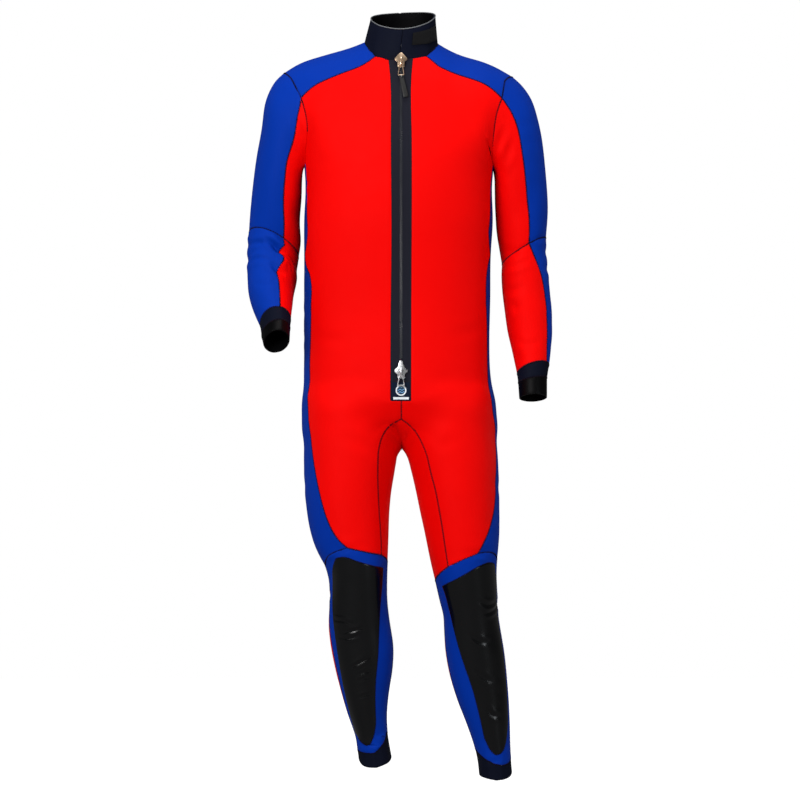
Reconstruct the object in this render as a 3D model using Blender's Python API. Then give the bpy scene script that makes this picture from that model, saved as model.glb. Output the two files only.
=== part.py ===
# One-piece diving wetsuit, worn by nobody: a hollow garment in the pose of a standing wearer.
# It faces -Y, +X is the right of the front view, and the origin is the middle of the neck base.
# Each panel is a wall of sheet rubber whose outline is its seams, laid on one smooth figure.

import math

import bmesh
import bpy
import numpy as np
from mathutils import Matrix

# ---------------------------------------------------------------- sizes
PHOTO_SCALE = 0.00187           # metres of garment for one pixel of the front view
PHOTO_CENTRE_X = 400.0          # pixel column of the body's middle
PHOTO_NECK_Y = 50.0             # pixel row of the neck base, where the origin is
WALL = 0.0045                   # body panels
CUFF_WALL = 0.0032              # wrist and ankle cuffs
COLLAR_WALL = 0.0040
TAPE_WALL = 0.0022              # zip tape
PAD_LIFT = 0.0010               # how far the knee pads stand out of their panel
SEAM_GAP = 0.0003               # between two pieces
BODY_ROWS = 30                  # rows of a panel from underarm to knee
ARMHOLE_ROWS = 4                # rows along the front or back of the armhole
FRONT_COLUMNS = 6
BACK_COLUMNS = 7
SIDE_COLUMNS = 3
GUSSET_COLUMNS = 4
YOKE_COLUMNS = 8                # round the shoulder, front seam to back seam
LEG_ROWS = 15                   # knee seam to ankle seam

COLOURS = {
    "red": ((0.80, 0.004, 0.002), 0.62, 0.0),
    "blue": ((0.004, 0.045, 0.36), 0.62, 0.0),
    "navy": ((0.006, 0.010, 0.030), 0.68, 0.0),
    "black_skin": ((0.004, 0.004, 0.005), 0.45, 0.0),
    "pad_rubber": ((0.005, 0.005, 0.007), 0.22, 0.0),
    "hook_tab": ((0.020, 0.021, 0.022), 0.85, 0.0),
    "zip_tape": ((0.010, 0.014, 0.024), 0.75, 0.0),
    "zip_chain": ((0.014, 0.015, 0.018), 0.40, 0.0),
    "bronze": ((0.55, 0.36, 0.22), 0.30, 1.0),
    "steel": ((0.72, 0.74, 0.76), 0.28, 1.0),
    "puller_rubber": ((0.012, 0.011, 0.011), 0.50, 0.0),
    "patch": ((0.012, 0.020, 0.040), 0.60, 0.0),
}


def photo_x(column):
    return (column - PHOTO_CENTRE_X) * PHOTO_SCALE


def photo_z(row):
    return (PHOTO_NECK_Y - row) * PHOTO_SCALE


# ---------------------------------------------------------------- the figure
# Level sections of the torso: left and right outline as pixel columns of the front view,
# front and back depth in metres from the neck base, and the squareness of the section.
TORSO = (
    # row, left, right, front, back, square
    (20, 262, 538, -0.078, 0.078, 2.6),
    (69, 268, 535, -0.092, 0.098, 2.6),
    (85, 277, 526, -0.098, 0.105, 2.6),
    (100, 286, 517, -0.104, 0.111, 2.6),
    (120, 296, 505, -0.111, 0.118, 2.6),
    (145, 301.5, 500, -0.118, 0.123, 2.6),
    (165, 304.3, 494, -0.122, 0.124, 2.55),
    (185, 305.6, 492, -0.124, 0.122, 2.5),
    (219, 304.4, 492.6, -0.123, 0.117, 2.4),
    (260, 304.2, 490.6, -0.117, 0.108, 2.35),
    (300, 304.5, 490.2, -0.111, 0.101, 2.3),
    (347, 304.5, 489.4, -0.108, 0.104, 2.3),
    (372, 304.2, 490.2, -0.107, 0.112, 2.35),
    (392, 303.9, 492.8, -0.106, 0.120, 2.4),
    (417, 303.6, 495.2, -0.105, 0.127, 2.45),
    (442, 303.9, 496.8, -0.103, 0.128, 2.5),
    (480, 304.6, 498.6, -0.100, 0.122, 2.5),
)
# The same for each leg; outer and inner outline instead of left and right.
LEG_A = (
    # row, outer, inner, front, back, square
    (380, 304.2, 399.0, -0.100, 0.116, 2.2),
    (417, 303.8, 399.5, -0.100, 0.122, 2.2),
    (442, 304.0, 398.7, -0.099, 0.120, 2.2),
    (468, 304.3, 395.2, -0.097, 0.112, 2.15),
    (494, 305.4, 391.0, -0.094, 0.104, 2.1),
    (516, 307.8, 389.2, -0.091, 0.096, 2.1),
    (538, 312.2, 388.5, -0.088, 0.086, 2.1),
    (552, 317.6, 388.0, -0.086, 0.078, 2.1),
    (566, 325.0, 387.4, -0.083, 0.070, 2.1),
    (580, 328.8, 387.0, -0.078, 0.064, 2.1),
    (600, 329.6, 387.2, -0.072, 0.062, 2.1),
    (624, 328.4, 389.9, -0.064, 0.068, 2.1),
    (640, 329.8, 392.6, -0.059, 0.072, 2.1),
    (656, 332.4, 393.4, -0.055, 0.073, 2.1),
    (675, 336.6, 391.6, -0.050, 0.071, 2.1),
    (694, 341.5, 388.6, -0.045, 0.067, 2.1),
    (715, 347.8, 386.8, -0.039, 0.061, 2.1),
    (737, 355.4, 388.0, -0.033, 0.057, 2.1),
    (752, 357.6, 390.8, -0.030, 0.056, 2.1),
    (785, 360.0, 396.0, -0.026, 0.057, 2.1),
)
LEG_B = (
    # row, outer, inner, front, back, square
    (380, 491.0, 402.5, -0.100, 0.116, 2.2),
    (417, 495.0, 402.0, -0.100, 0.122, 2.2),
    (442, 496.8, 404.0, -0.099, 0.120, 2.2),
    (466, 498.3, 410.0, -0.097, 0.113, 2.15),
    (486, 498.7, 414.8, -0.095, 0.106, 2.1),
    (510, 499.2, 419.8, -0.092, 0.098, 2.1),
    (534, 499.2, 425.0, -0.089, 0.088, 2.1),
    (552, 498.0, 428.6, -0.086, 0.078, 2.1),
    (566, 496.5, 431.6, -0.083, 0.070, 2.1),
    (580, 496.6, 435.0, -0.078, 0.064, 2.1),
    (600, 497.4, 439.6, -0.071, 0.062, 2.1),
    (615, 498.2, 443.2, -0.066, 0.066, 2.1),
    (632, 501.0, 444.0, -0.061, 0.071, 2.1),
    (652, 504.4, 445.4, -0.056, 0.073, 2.1),
    (675, 506.9, 449.6, -0.049, 0.070, 2.1),
    (699, 508.8, 456.8, -0.042, 0.065, 2.1),
    (723, 509.8, 466.4, -0.036, 0.059, 2.1),
    (752, 510.6, 476.0, -0.029, 0.056, 2.1),
    (790, 514.0, 480.6, -0.024, 0.058, 2.1),
)
# The shoulder line, from arm to arm, as pixels of the front view.
SHOULDER = (
    # column, row
    (255, 79.0), (283.3, 69.1), (302.7, 61.8), (326.9, 54.5), (351.2, 47.3), (366, 41.5), (383, 36.5),
    (401, 34.5), (419, 37.0), (437, 43.0), (455, 53.0), (480.4, 61.0), (497.6, 67.8), (513.6, 74.5), (545, 86.0),
)
SHOULDER_Y = 0.010              # how far behind the neck base the shoulder line runs
ROOF_FRONT = 9.0                # fall of the shoulder per square metre of depth, forward
ROOF_BACK = 6.0                 # and backward
CROTCH_ROW = 441.0
CROTCH_RISE = 4.2               # rise of the crotch per square metre of depth
LEG_TOP_ROW = 392.0             # where the legs end, inside the torso


def smooth_curve(xs, ys):
    """A smooth curve through points, held level past its ends."""
    xs = np.asarray(xs, float)
    ys = np.asarray(ys, float)
    slopes = np.gradient(ys, xs)

    def value(x):
        x = np.clip(x, xs[0], xs[-1])
        i = np.clip(np.searchsorted(xs, x) - 1, 0, len(xs) - 2)
        span = xs[i + 1] - xs[i]
        t = (x - xs[i]) / span
        rise = ys[i] * (1 + 2 * t) * (1 - t) ** 2 + ys[i + 1] * (3 - 2 * t) * t ** 2
        return rise + span * (slopes[i] * t * (1 - t) ** 2 - slopes[i + 1] * (1 - t) * t ** 2)
    return value


def section_curves(table):
    """Five curves over height from a table of sections, in metres."""
    rows = np.array(table, float)
    heights = photo_z(rows[:, 0])[::-1]
    columns = [photo_x(rows[:, 1]), photo_x(rows[:, 2]), rows[:, 3], rows[:, 4], rows[:, 5]]
    return [smooth_curve(heights, column[::-1]) for column in columns]


TORSO_CURVES = section_curves(TORSO)
LEG_CURVES = {-1: section_curves(LEG_A), 1: section_curves(LEG_B)}
SHOULDER_LINE = smooth_curve([photo_x(p[0]) for p in SHOULDER], [photo_z(p[1]) for p in SHOULDER])


def section_field(p, curves):
    """Signed size of a point against a stack of level sections: 0 on the surface."""
    side_1, side_2, front, back, square = [curve(p[..., 2]) for curve in curves]
    half_x = abs(side_2 - side_1) / 2
    half_y = (back - front) / 2
    across = abs(p[..., 0] - (side_1 + side_2) / 2) / half_x + 1e-9
    along = abs(p[..., 1] - (front + back) / 2) / half_y + 1e-9
    return ((across ** square + along ** square) ** (1 / square) - 1) * np.minimum(half_x, half_y)


def blend_low(a, b, k):
    """The smaller of two values, rounded where they are within k."""
    h = np.maximum(k - abs(a - b), 0)
    return np.minimum(a, b) - h * h / (4 * k)


def figure(p):
    """The outer face of the body panels: negative inside, 0 on the face."""
    x, y, z = p[..., 0], p[..., 1], p[..., 2]
    behind = y - SHOULDER_Y
    fall = np.where(behind < 0, ROOF_FRONT, ROOF_BACK)
    slope = 2 * fall * behind
    roof = (z - SHOULDER_LINE(x) + fall * behind ** 2) / np.sqrt(1.1 + slope ** 2)
    torso = -blend_low(-section_field(p, TORSO_CURVES), -roof, 0.035)
    crotch = photo_z(CROTCH_ROW) + CROTCH_RISE * (y - 0.012) ** 2 - z
    torso = -blend_low(-torso, -crotch, 0.030)
    legs = blend_low(section_field(p, LEG_CURVES[-1]), section_field(p, LEG_CURVES[1]), 0.006)
    legs = np.maximum(legs, z - photo_z(LEG_TOP_ROW))
    return blend_low(torso, legs, 0.010 + 0.030 * np.exp(-(x / 0.055) ** 2))


def slope_of(field, p, step=2e-4):
    parts = []
    for axis in range(3):
        shift = np.zeros(3)
        shift[axis] = step
        parts.append((field(p + shift) - field(p - shift)) / (2 * step))
    return np.stack(parts, axis=-1)


def normal_of(field, p):
    g = slope_of(field, p)
    return g / np.linalg.norm(g, axis=-1, keepdims=True)


def onto(field, p, steps=12):
    """Points moved straight onto the surface of a field."""
    p = np.array(p, float)
    for _ in range(steps):
        g = slope_of(field, p)
        size = np.maximum((g * g).sum(-1), 0.05)
        move = (field(p) / size)[..., None] * g
        length = np.linalg.norm(move, axis=-1, keepdims=True)
        p = p - move * np.minimum(1, 0.03 / np.maximum(length, 1e-9))
    return p


# ---------------------------------------------------------------- points and curves on the figure
def search(start, end):
    """First crossing of the figure on a straight way in, then settled onto it."""
    start, end = np.array(start, float), np.array(end, float)
    steps = np.linspace(0, 1, 240)[:, None]
    way = start + (end - start) * steps
    inside = np.nonzero(figure(way) < 0)[0]
    if len(inside):
        return onto(figure, way[inside[0]])
    return onto(figure, way[np.argmin(figure(way))])


def front(column, row):
    """The point of the front that a pixel of the front view shows."""
    x, z = photo_x(column), photo_z(row)
    return search((x, -0.30, z), (x, 0.02, z))


def rear(column, row):
    """The same, on the back."""
    x, z = photo_x(column), photo_z(row)
    return search((x, 0.30, z), (x, 0.0, z))


def outer(side, y, row):
    """The point of the outer side at a depth."""
    z = photo_z(row)
    return search((side * 0.40, y, z), (side * 0.06, y, z))


def inner(side, y, row):
    """The point of a leg's inner side at a depth."""
    z = photo_z(row)
    return search((0.0, y, z), (side * 0.10, y, z))


def through(points, count, field=figure, ends=None):
    """A curve through points, cut in `count` equal lengths and laid on the surface."""
    points = np.array(points, float)
    lengths = np.concatenate([[0], np.cumsum(np.linalg.norm(np.diff(points, axis=0), axis=1))])
    fine = np.linspace(0, lengths[-1], 40 * len(points))
    if len(points) > 2:
        path = np.stack([smooth_curve(lengths, points[:, k])(fine) for k in range(3)], axis=1)
    else:
        path = np.stack([np.interp(fine, lengths, points[:, k]) for k in range(3)], axis=1)
    if field is not None:
        path = onto(field, path, 6)
    run = np.concatenate([[0], np.cumsum(np.linalg.norm(np.diff(path, axis=0), axis=1))])
    even = np.linspace(0, run[-1], count + 1)
    cut = np.stack([np.interp(even, run, path[:, k]) for k in range(3)], axis=1)
    if field is not None:
        cut = onto(field, cut, 6)
    cut[0], cut[-1] = points[0], points[-1]
    return cut


def join(*curves):
    """Curves end to end, each shared point once."""
    parts = [curves[0]]
    for curve in curves[1:]:
        parts.append(curve[1:])
    return np.concatenate(parts)


# ---------------------------------------------------------------- panels
def patch(start, end, first, last, settle=8, field=figure):
    """A grid between four seams: rows run from start to end, columns from first to last."""
    nu, nv = len(start) - 1, len(first) - 1
    u = np.linspace(0, 1, nu + 1)[:, None, None]
    v = np.linspace(0, 1, nv + 1)[None, :, None]
    grid = (1 - v) * start[:, None] + v * end[:, None] + (1 - u) * first[None] + u * last[None]
    grid -= (1 - u) * (1 - v) * start[0] + u * (1 - v) * start[-1]
    grid -= (1 - u) * v * end[0] + u * v * end[-1]
    inside = (slice(1, -1), slice(1, -1))
    grid[inside] = onto(field, grid[inside], 14)
    for _ in range(settle):
        near = (grid[2:, 1:-1] + grid[:-2, 1:-1] + grid[1:-1, 2:] + grid[1:-1, :-2]) / 4
        grid[inside] = onto(field, (grid[inside] + near) / 2, 3)
    return grid


def pulled_back(grid, wrap):
    """The grid with its borders drawn in by half a seam gap."""
    result = grid.copy()
    rows, columns = grid.shape[:2]
    half = SEAM_GAP / 2

    def draw(edge, beside, line):
        along = np.gradient(line, axis=0)
        along /= np.linalg.norm(along, axis=1, keepdims=True)
        inward = beside - edge
        inward -= (inward * along).sum(1, keepdims=True) * along
        return half * inward / np.linalg.norm(inward, axis=1, keepdims=True)
    result[:, 0] += draw(grid[:, 0], grid[:, 1], grid[:, 0])
    result[:, -1] += draw(grid[:, -1], grid[:, -2], grid[:, -1])
    if not wrap:
        result[0] += draw(grid[0], grid[1], grid[0])
        result[-1] += draw(grid[-1], grid[-2], grid[-1])
    return result


def mesh_object(name, colour, verts, faces):
    """One named object from points and faces, its faces turned out."""
    mesh = bpy.data.meshes.new(name)
    mesh.from_pydata([tuple(v) for v in verts], [], faces)
    bm = bmesh.new()
    bm.from_mesh(mesh)
    bmesh.ops.recalc_face_normals(bm, faces=bm.faces)
    if bm.calc_volume(signed=True) < 0:
        bmesh.ops.reverse_faces(bm, faces=bm.faces)
    bm.to_mesh(mesh)
    bm.free()
    mesh.shade_smooth()
    mesh.set_sharp_from_angle(angle=math.radians(35))
    mesh.materials.append(material(colour))
    thing = bpy.data.objects.new(name, mesh)
    bpy.context.collection.objects.link(thing)
    return thing


def material(colour):
    if colour in bpy.data.materials:
        return bpy.data.materials[colour]
    rgb, roughness, metallic = COLOURS[colour]
    made = bpy.data.materials.new(colour)
    made.use_nodes = True
    shader = made.node_tree.nodes["Principled BSDF"]
    shader.inputs["Base Color"].default_value = (*rgb, 1)
    shader.inputs["Roughness"].default_value = roughness
    shader.inputs["Metallic"].default_value = metallic
    made.diffuse_color = (*rgb, 1)
    return made


def wall(name, colour, grid, normals, thickness, lift=0.0, wrap=False):
    """A wall on a grid of points: its outer face on them, its inner face `thickness` inside."""
    face = pulled_back(grid, wrap)
    rows, columns = face.shape[:2]
    outside = (face + normals * lift).reshape(-1, 3)
    inside = (face - normals * thickness).reshape(-1, 3)
    count = rows * columns
    order = [tuple(point) for point in np.round(grid.reshape(-1, 3), 7)]
    faces = []

    def at(i, j):
        return (i % rows) * columns + j

    def rim(a, b):
        # Two pieces that share a seam cut its rim along the same diagonal.
        if order[a] < order[b]:
            a, b = b, a
        faces.append((a, b, a + count))
        faces.append((b, b + count, a + count))
    steps = rows if wrap else rows - 1
    for i in range(steps):
        for j in range(columns - 1):
            a, b, c, d = at(i, j), at(i + 1, j), at(i + 1, j + 1), at(i, j + 1)
            faces.append((a, b, c, d))
            faces.append((d + count, c + count, b + count, a + count))
        for j in (0, columns - 1):
            rim(at(i, j), at(i + 1, j))
    if not wrap:
        for j in range(columns - 1):
            for i in (0, rows - 1):
                rim(at(i, j), at(i, j + 1))
    return mesh_object(name, colour, np.concatenate([outside, inside]), faces)


# ---------------------------------------------------------------- start from an empty scene
for thing in list(bpy.data.objects):
    bpy.data.objects.remove(thing)

# ---------------------------------------------------------------- seams of the body
# A side is -1 (left of the front view, the wearer's right) or +1.
SIDE_NAMES = {-1: "right", 1: "left"}
seam = {}

# Zip: both edges of the tape and the two lines that the chain lies between.
ZIP_ROWS = 22
ZIP_EDGE = {-1: ((388.6, 61.2), (390.0, 75), (391.0, 150), (391.6, 230), (390.8, 320), (390.4, 400.8)),
            1: ((413.0, 59.6), (411.6, 75), (411.7, 150), (411.6, 230), (411.2, 320), (411.0, 400.8))}
CHAIN_EDGE = {-1: ((399.4, 60.4), (399.5, 150), (399.7, 260), (399.9, 400.8)),
              1: ((402.4, 60.0), (402.4, 150), (402.5, 260), (402.5, 400.8))}
for s in (-1, 1):
    seam["zip", s] = through([front(*p) for p in ZIP_EDGE[s]], ZIP_ROWS)
    seam["chain", s] = through([front(*p) for p in CHAIN_EDGE[s]], ZIP_ROWS)

# Crotch: a short centre seam below the zip, then one seam down each leg.
GUSSET_TOP = front(401.3, 419)
GUSSET_BACK = rear(401.0, 417)
ZIP_END = front(401.2, 401.0)
seam["centre", 0] = through([ZIP_END, GUSSET_TOP], 1)
GUSSET_FRONT = {-1: ((389.8, 425.5), (381.7, 437), (378.7, 450), (377.7, 474), (378.3, 497), (379.5, 516),
                     (381.0, 535), (381.2, 554.6)),
                1: ((411.8, 427), (419, 437), (425, 449), (429.4, 466.5), (434.5, 485.6), (438.2, 504.7),
                    (442.6, 529.6), (448.0, 566.0))}
GUSSET_REAR = {-1: ((391, 424), (383, 438), (380, 455), (379, 480), (380, 510), (381, 540), (381.5, 566)),
               1: ((411, 425), (418, 438), (424, 452), (430, 475), (436, 505), (442, 535), (447, 577))}
GUSSET_ROWS = 10
for s in (-1, 1):
    seam["gusset", s] = through([GUSSET_TOP] + [front(*p) for p in GUSSET_FRONT[s]], GUSSET_ROWS)
    seam["gusset_back", s] = through([GUSSET_BACK] + [rear(*p) for p in GUSSET_REAR[s]], GUSSET_ROWS)

# Shoulder: the yoke lies between the neck, the armhole and two seams.
NECK_YOKE = {-1: front(375.6, 57.3), 1: front(426.2, 56.9)}
YOKE_FRONT = {-1: ((369.3, 63), (351.2, 71), (333, 78.2), (314.8, 87), (301.5, 98.8)),
              1: ((432, 64.2), (445.9, 70.5), (463, 78), (480.4, 83), (501.6, 99.2))}
YOKE_REAR = {-1: ((369, 52), (345, 63), (322, 75), (299, 93)),
             1: ((433, 52), (457, 63), (480, 75), (503, 93))}
NECK_BACK_DEPTH = 0.054
NECK_CORNER = (0.040, 0.043)    # sideways and back from the middle, where the back yoke seam starts


def above(x, y):
    """The point of the shoulders straight below a high point."""
    return search((x, y, 0.15), (x, y, -0.05))


for s in (-1, 1):
    seam["yoke", s] = through([NECK_YOKE[s]] + [front(*p) for p in YOKE_FRONT[s]], FRONT_COLUMNS - 1)
    corner = above(photo_x(401) + s * NECK_CORNER[0], NECK_CORNER[1])
    seam["yoke_back", s] = through([corner] + [rear(*p) for p in YOKE_REAR[s]], BACK_COLUMNS - 2)

# Neck: half an ellipse round each side, from the zip to the centre back.
NECK_SIDE = {-1: photo_x(364.7), 1: photo_x(437.7)}
NECK_TURN = ((0.89, -0.032), (1.0, -0.002), (0.90, 0.026))    # share of the half width, depth


NECK_BACK = above(photo_x(401), NECK_BACK_DEPTH)
for s in (-1, 1):
    seam["neck_front", s] = through([seam["zip", s][0], NECK_YOKE[s]], 1)
    corner = seam["yoke_back", s][0]
    side_points = [above(NECK_SIDE[s] * share, depth) for share, depth in NECK_TURN]
    seam["neck_side", s] = through([NECK_YOKE[s]] + side_points + [corner], YOKE_COLUMNS)
    near_back = above(photo_x(401) + s * 0.021, NECK_BACK_DEPTH - 0.003)
    seam["neck_back", s] = through([NECK_BACK, near_back, corner], 2)

# Armhole: over the shoulder, down the front, under the arm and up the back.
SHOULDER_POINT = {-1: photo_x(284.0), 1: photo_x(512.8)}
ARMHOLE_FRONT = {-1: ((305.5, 112), (307.2, 124), (307.5, 138), (306.2, 151)),
                 1: ((497.2, 112), (494.6, 123), (493.4, 138), (492.6, 151))}
ARMHOLE_REAR = {-1: ((304, 108), (306.5, 122), (307.0, 138), (306, 151)),
                1: ((498.5, 108), (496, 122), (494.8, 138), (493.6, 151))}
UNDERARM_ROW = {-1: 165.0, 1: 167.0}
for s in (-1, 1):
    x = SHOULDER_POINT[s]
    top = above(x, SHOULDER_Y)
    front_top, back_top = seam["yoke", s][-1], seam["yoke_back", s][-1]
    halfway_front = above(x - s * 0.010, -0.038)
    halfway_back = above(x - s * 0.007, 0.052)
    seam["armhole_top", s] = through([front_top, halfway_front, top, halfway_back, back_top], YOKE_COLUMNS)
    under_front = outer(s, -0.030, UNDERARM_ROW[s] - 2)
    under_back = outer(s, 0.034, UNDERARM_ROW[s] - 2)
    seam["armhole_front", s] = through([front_top] + [front(*p) for p in ARMHOLE_FRONT[s]] + [under_front],
                                       ARMHOLE_ROWS)
    seam["armhole_back", s] = through([back_top] + [rear(*p) for p in ARMHOLE_REAR[s]] + [under_back],
                                      ARMHOLE_ROWS)
    seam["armhole_under", s] = through([under_front, outer(s, 0.002, UNDERARM_ROW[s] + 2), under_back],
                                       SIDE_COLUMNS)

# Side panel: its front edge shows from the waist down, its back edge runs behind it.
SIDE_FRONT_HIDDEN = (-0.034, -0.040, -0.045)
SIDE_FRONT = {-1: ((305.0, 259.4), (309.4, 272), (311.8, 285), (311.6, 303), (311.0, 330), (310.0, 375),
                   (309.4, 425), (313.5, 456), (317.9, 482.7), (322.3, 501.8), (329.6, 523.8),
                   (338.4, 538.4), (347.6, 547.2)),
              1: ((490.0, 257.0), (487.2, 267), (485.8, 284), (485.8, 301), (486.8, 330), (487.4, 372),
                  (491.9, 407.7), (495.2, 438.7), (495.5, 475), (494.3, 504.7), (491, 522),
                  (485, 538.4), (477.8, 552.6))}
SIDE_REAR = (
    # depth, row
    (0.052, 190), (0.060, 225), (0.062, 270), (0.062, 320), (0.066, 370), (0.074, 420), (0.070, 470),
    (0.058, 520), (0.036, 552),
)
KNEE_OUTER_BACK = {-1: (0.026, 567.0), 1: (0.026, 562.0)}
for s in (-1, 1):
    hidden = [outer(s, y, row) for y, row in zip(SIDE_FRONT_HIDDEN, (185, 210, 238))]
    shown = [front(*p) for p in SIDE_FRONT[s]]
    seam["side", s] = through([seam["armhole_under", s][0]] + hidden + shown, BODY_ROWS)
    behind = [outer(s, y, row) for y, row in SIDE_REAR] + [outer(s, *KNEE_OUTER_BACK[s])]
    seam["side_back", s] = through([seam["armhole_under", s][-1]] + behind, BODY_ROWS)
seam["centre_back", 0] = through([NECK_BACK] + [rear(401, row) for row in (60, 100, 150, 200, 260, 320, 370)]
                                 + [GUSSET_BACK], BODY_ROWS + ARMHOLE_ROWS - GUSSET_ROWS)

# Knee: one seam all round each leg, in the stretches of the panels above it.
KNEE_SIDE = {-1: ((336.7, 547.5), (330.3, 553.5), (326.6, 562.5)), 1: ((487, 551.2), (493.6, 553.2), (496.4, 558))}
KNEE_FRONT = {-1: ((368.6, 552.0),), 1: ((463, 558.8),)}
KNEE_INNER_ROW = {-1: 558.5, 1: 577.5}
for s in (-1, 1):
    cut = {name: seam[name, s][-1] for name in ("gusset", "side", "side_back", "gusset_back")}
    seam["knee_front", s] = through([cut["gusset"]] + [front(*p) for p in KNEE_FRONT[s]] + [cut["side"]],
                                    FRONT_COLUMNS)
    seam["knee_side", s] = through([cut["side"]] + [front(*p) for p in KNEE_SIDE[s]] + [cut["side_back"]],
                                   SIDE_COLUMNS)
    middle = (photo_x(356 if s < 0 else 464), 575 if s < 0 else 575)
    back_middle = search((middle[0], 0.3, photo_z(middle[1])), (middle[0], 0, photo_z(middle[1])))
    seam["knee_back", s] = through([cut["side_back"], back_middle, cut["gusset_back"]], BACK_COLUMNS)
    seam["knee_inner", s] = through([cut["gusset_back"], inner(s, 0.000, KNEE_INNER_ROW[s] + 4),
                                     cut["gusset"]], GUSSET_COLUMNS)

# ---------------------------------------------------------------- sleeves
# Rings down each arm: outer and inner outline in the front view, the depth of the ring's
# middle, its half depth, how far its front is raised, the turn of the front and back
# seams from the front, and how full the ring is in front, where the elbow folds.
SLEEVE_A = (
    # outer x, y, inner x, y, middle, depth, raise, front seam, back seam, fold
    (283.3, 69.1, 304.5, 169.0, 0.006, 0.072, 0, 24, 155, 0),
    (277.0, 75.5, 303.0, 172.0, 0.007, 0.070, 0, 8, 168, 0),
    (271.0, 85.5, 302.4, 176.0, 0.008, 0.067, 0, -8, 178, 0),
    (264.6, 104.0, 302.0, 182.0, 0.009, 0.064, 0, -15, 186, 0),
    (261.8, 127.0, 301.8, 190.0, 0.010, 0.062, 0, -14, 190, 0),
    (257.5, 151.0, 301.4, 200.0, 0.011, 0.060, 2, -15, 192, 0),
    (254.0, 175.0, 300.4, 211.0, 0.013, 0.058, 6, -17, 194, 0),
    (251.4, 198.0, 299.8, 225.0, 0.016, 0.056, 12, -20, 196, 0),
    (249.7, 217.0, 300.6, 241.0, 0.019, 0.055, 20, -21, 197, 0.2),
    (248.7, 233.4, 299.0, 257.0, 0.021, 0.054, 27, -25, 198, -0.9),
    (247.4, 243.5, 297.0, 264.5, 0.018, 0.054, 31, -28, 198, 1.0),
    (247.6, 254.0, 297.2, 272.0, 0.013, 0.053, 35, -20, 198, -0.7),
    (247.2, 265.0, 296.6, 279.5, 0.004, 0.052, 39, -19, 198, 0.5),
    (247.7, 281.0, 294.8, 290.0, -0.012, 0.049, 43, -18, 198, -0.2),
    (250.4, 299.5, 293.0, 301.5, -0.035, 0.044, 46, -22, 198, 0),
    (260.6, 324.0, 291.2, 320.0, -0.066, 0.036, 50, -19, 198, 0),
    (262.3, 336.0, 290.8, 328.5, -0.086, 0.031, 48, -19, 198, 0),
    (264.0, 343.4, 290.4, 340.0, -0.102, 0.030, 45, -19, 198, 0),
)
SLEEVE_B = (
    # outer x, y, inner x, y, middle, depth, raise, front seam, back seam, fold
    (513.6, 74.5, 492.5, 170.0, 0.006, 0.072, 0, 24, 155, 0),
    (518.6, 79.0, 493.6, 173.5, 0.007, 0.070, 0, 22, 166, 0),
    (524.4, 86.0, 494.4, 178.5, 0.008, 0.067, 0, 20, 176, 0),
    (532.0, 99.5, 494.6, 186.0, 0.009, 0.064, 0, 16, 184, 0),
    (537.4, 117.0, 494.8, 195.0, 0.010, 0.062, 0, 13, 188, 0),
    (542.0, 138.0, 495.0, 205.0, 0.011, 0.060, 1, 12, 190, 0),
    (545.0, 163.0, 495.6, 217.0, 0.013, 0.058, 3, 12, 192, 0),
    (547.2, 188.0, 496.6, 231.5, 0.016, 0.056, 5, 12, 192, 0),
    (548.0, 212.0, 499.0, 246.0, 0.018, 0.055, 7, 13, 192, 0.1),
    (546.0, 238.2, 501.8, 264.8, 0.020, 0.054, 10, 13, 192, -0.5),
    (546.4, 256.0, 501.9, 277.0, 0.018, 0.053, 11, 27, 192, 0.5),
    (548.4, 275.0, 502.4, 292.0, 0.014, 0.052, 12, 41, 192, -0.1),
    (550.4, 296.0, 504.5, 309.0, 0.009, 0.049, 13, 48, 192, 0),
    (551.9, 318.0, 507.4, 330.0, 0.002, 0.045, 15, 49, 192, 0),
    (551.4, 342.0, 511.9, 350.0, -0.006, 0.040, 18, 50, 192, 0),
    (548.8, 365.0, 517.0, 374.0, -0.016, 0.036, 22, 58, 192, 0),
    (546.9, 378.0, 518.0, 383.0, -0.021, 0.032, 12, 58, 192, 0),
    (546.8, 397.4, 519.0, 398.4, -0.028, 0.031, 14, 58, 192, 0),
)
SLEEVES = {-1: SLEEVE_A, 1: SLEEVE_B}
ELBOW_RING = 9
CUFF_RING = 15
SEAL_RING = 16
FOLD_DEPTH = 0.0035
FADE_RINGS = 4                  # rings over which a sleeve takes up the armhole's own line
OUTER_COLUMNS = YOKE_COLUMNS
INNER_COLUMNS = 2 * ARMHOLE_ROWS + SIDE_COLUMNS


def sleeve_rings(side):
    """All rings of a sleeve, each one from the front seam outward, round and back to it."""
    loop = join(seam["armhole_top", side], seam["armhole_back", side], seam["armhole_under", side][::-1],
                seam["armhole_front", side][::-1])
    rings = []
    for outer_x, outer_y, inner_x, inner_y, middle, depth, raised, seam_1, seam_2, fold in SLEEVES[side]:
        far = np.array((photo_x(outer_x), middle, photo_z(outer_y)))
        near = np.array((photo_x(inner_x), middle, photo_z(inner_y)))
        tilt = math.radians(raised)
        forward = depth * np.array((0, -math.cos(tilt), math.sin(tilt)))
        turns = np.concatenate([np.linspace(seam_1, seam_2, OUTER_COLUMNS + 1),
                                np.linspace(seam_2, seam_1 + 360, INNER_COLUMNS + 1)[1:]])
        turns = np.radians(turns)
        fullness = 1 + fold * FOLD_DEPTH / depth * np.clip(np.cos(turns + 0.7), 0, 1) ** 2
        across = (far - near) / 2
        ring = (far + near) / 2 + (fullness * np.sin(turns))[:, None] * across
        rings.append(ring + (fullness * np.cos(turns))[:, None] * forward)
    rings = np.array(rings)
    shift = loop - rings[0]
    for k in range(FADE_RINGS):
        t = k / FADE_RINGS
        rings[k] += shift * (1 - t) ** 2 * (1 + 2 * t)
    rings[:, -1] = rings[:, 0]
    return rings


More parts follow.
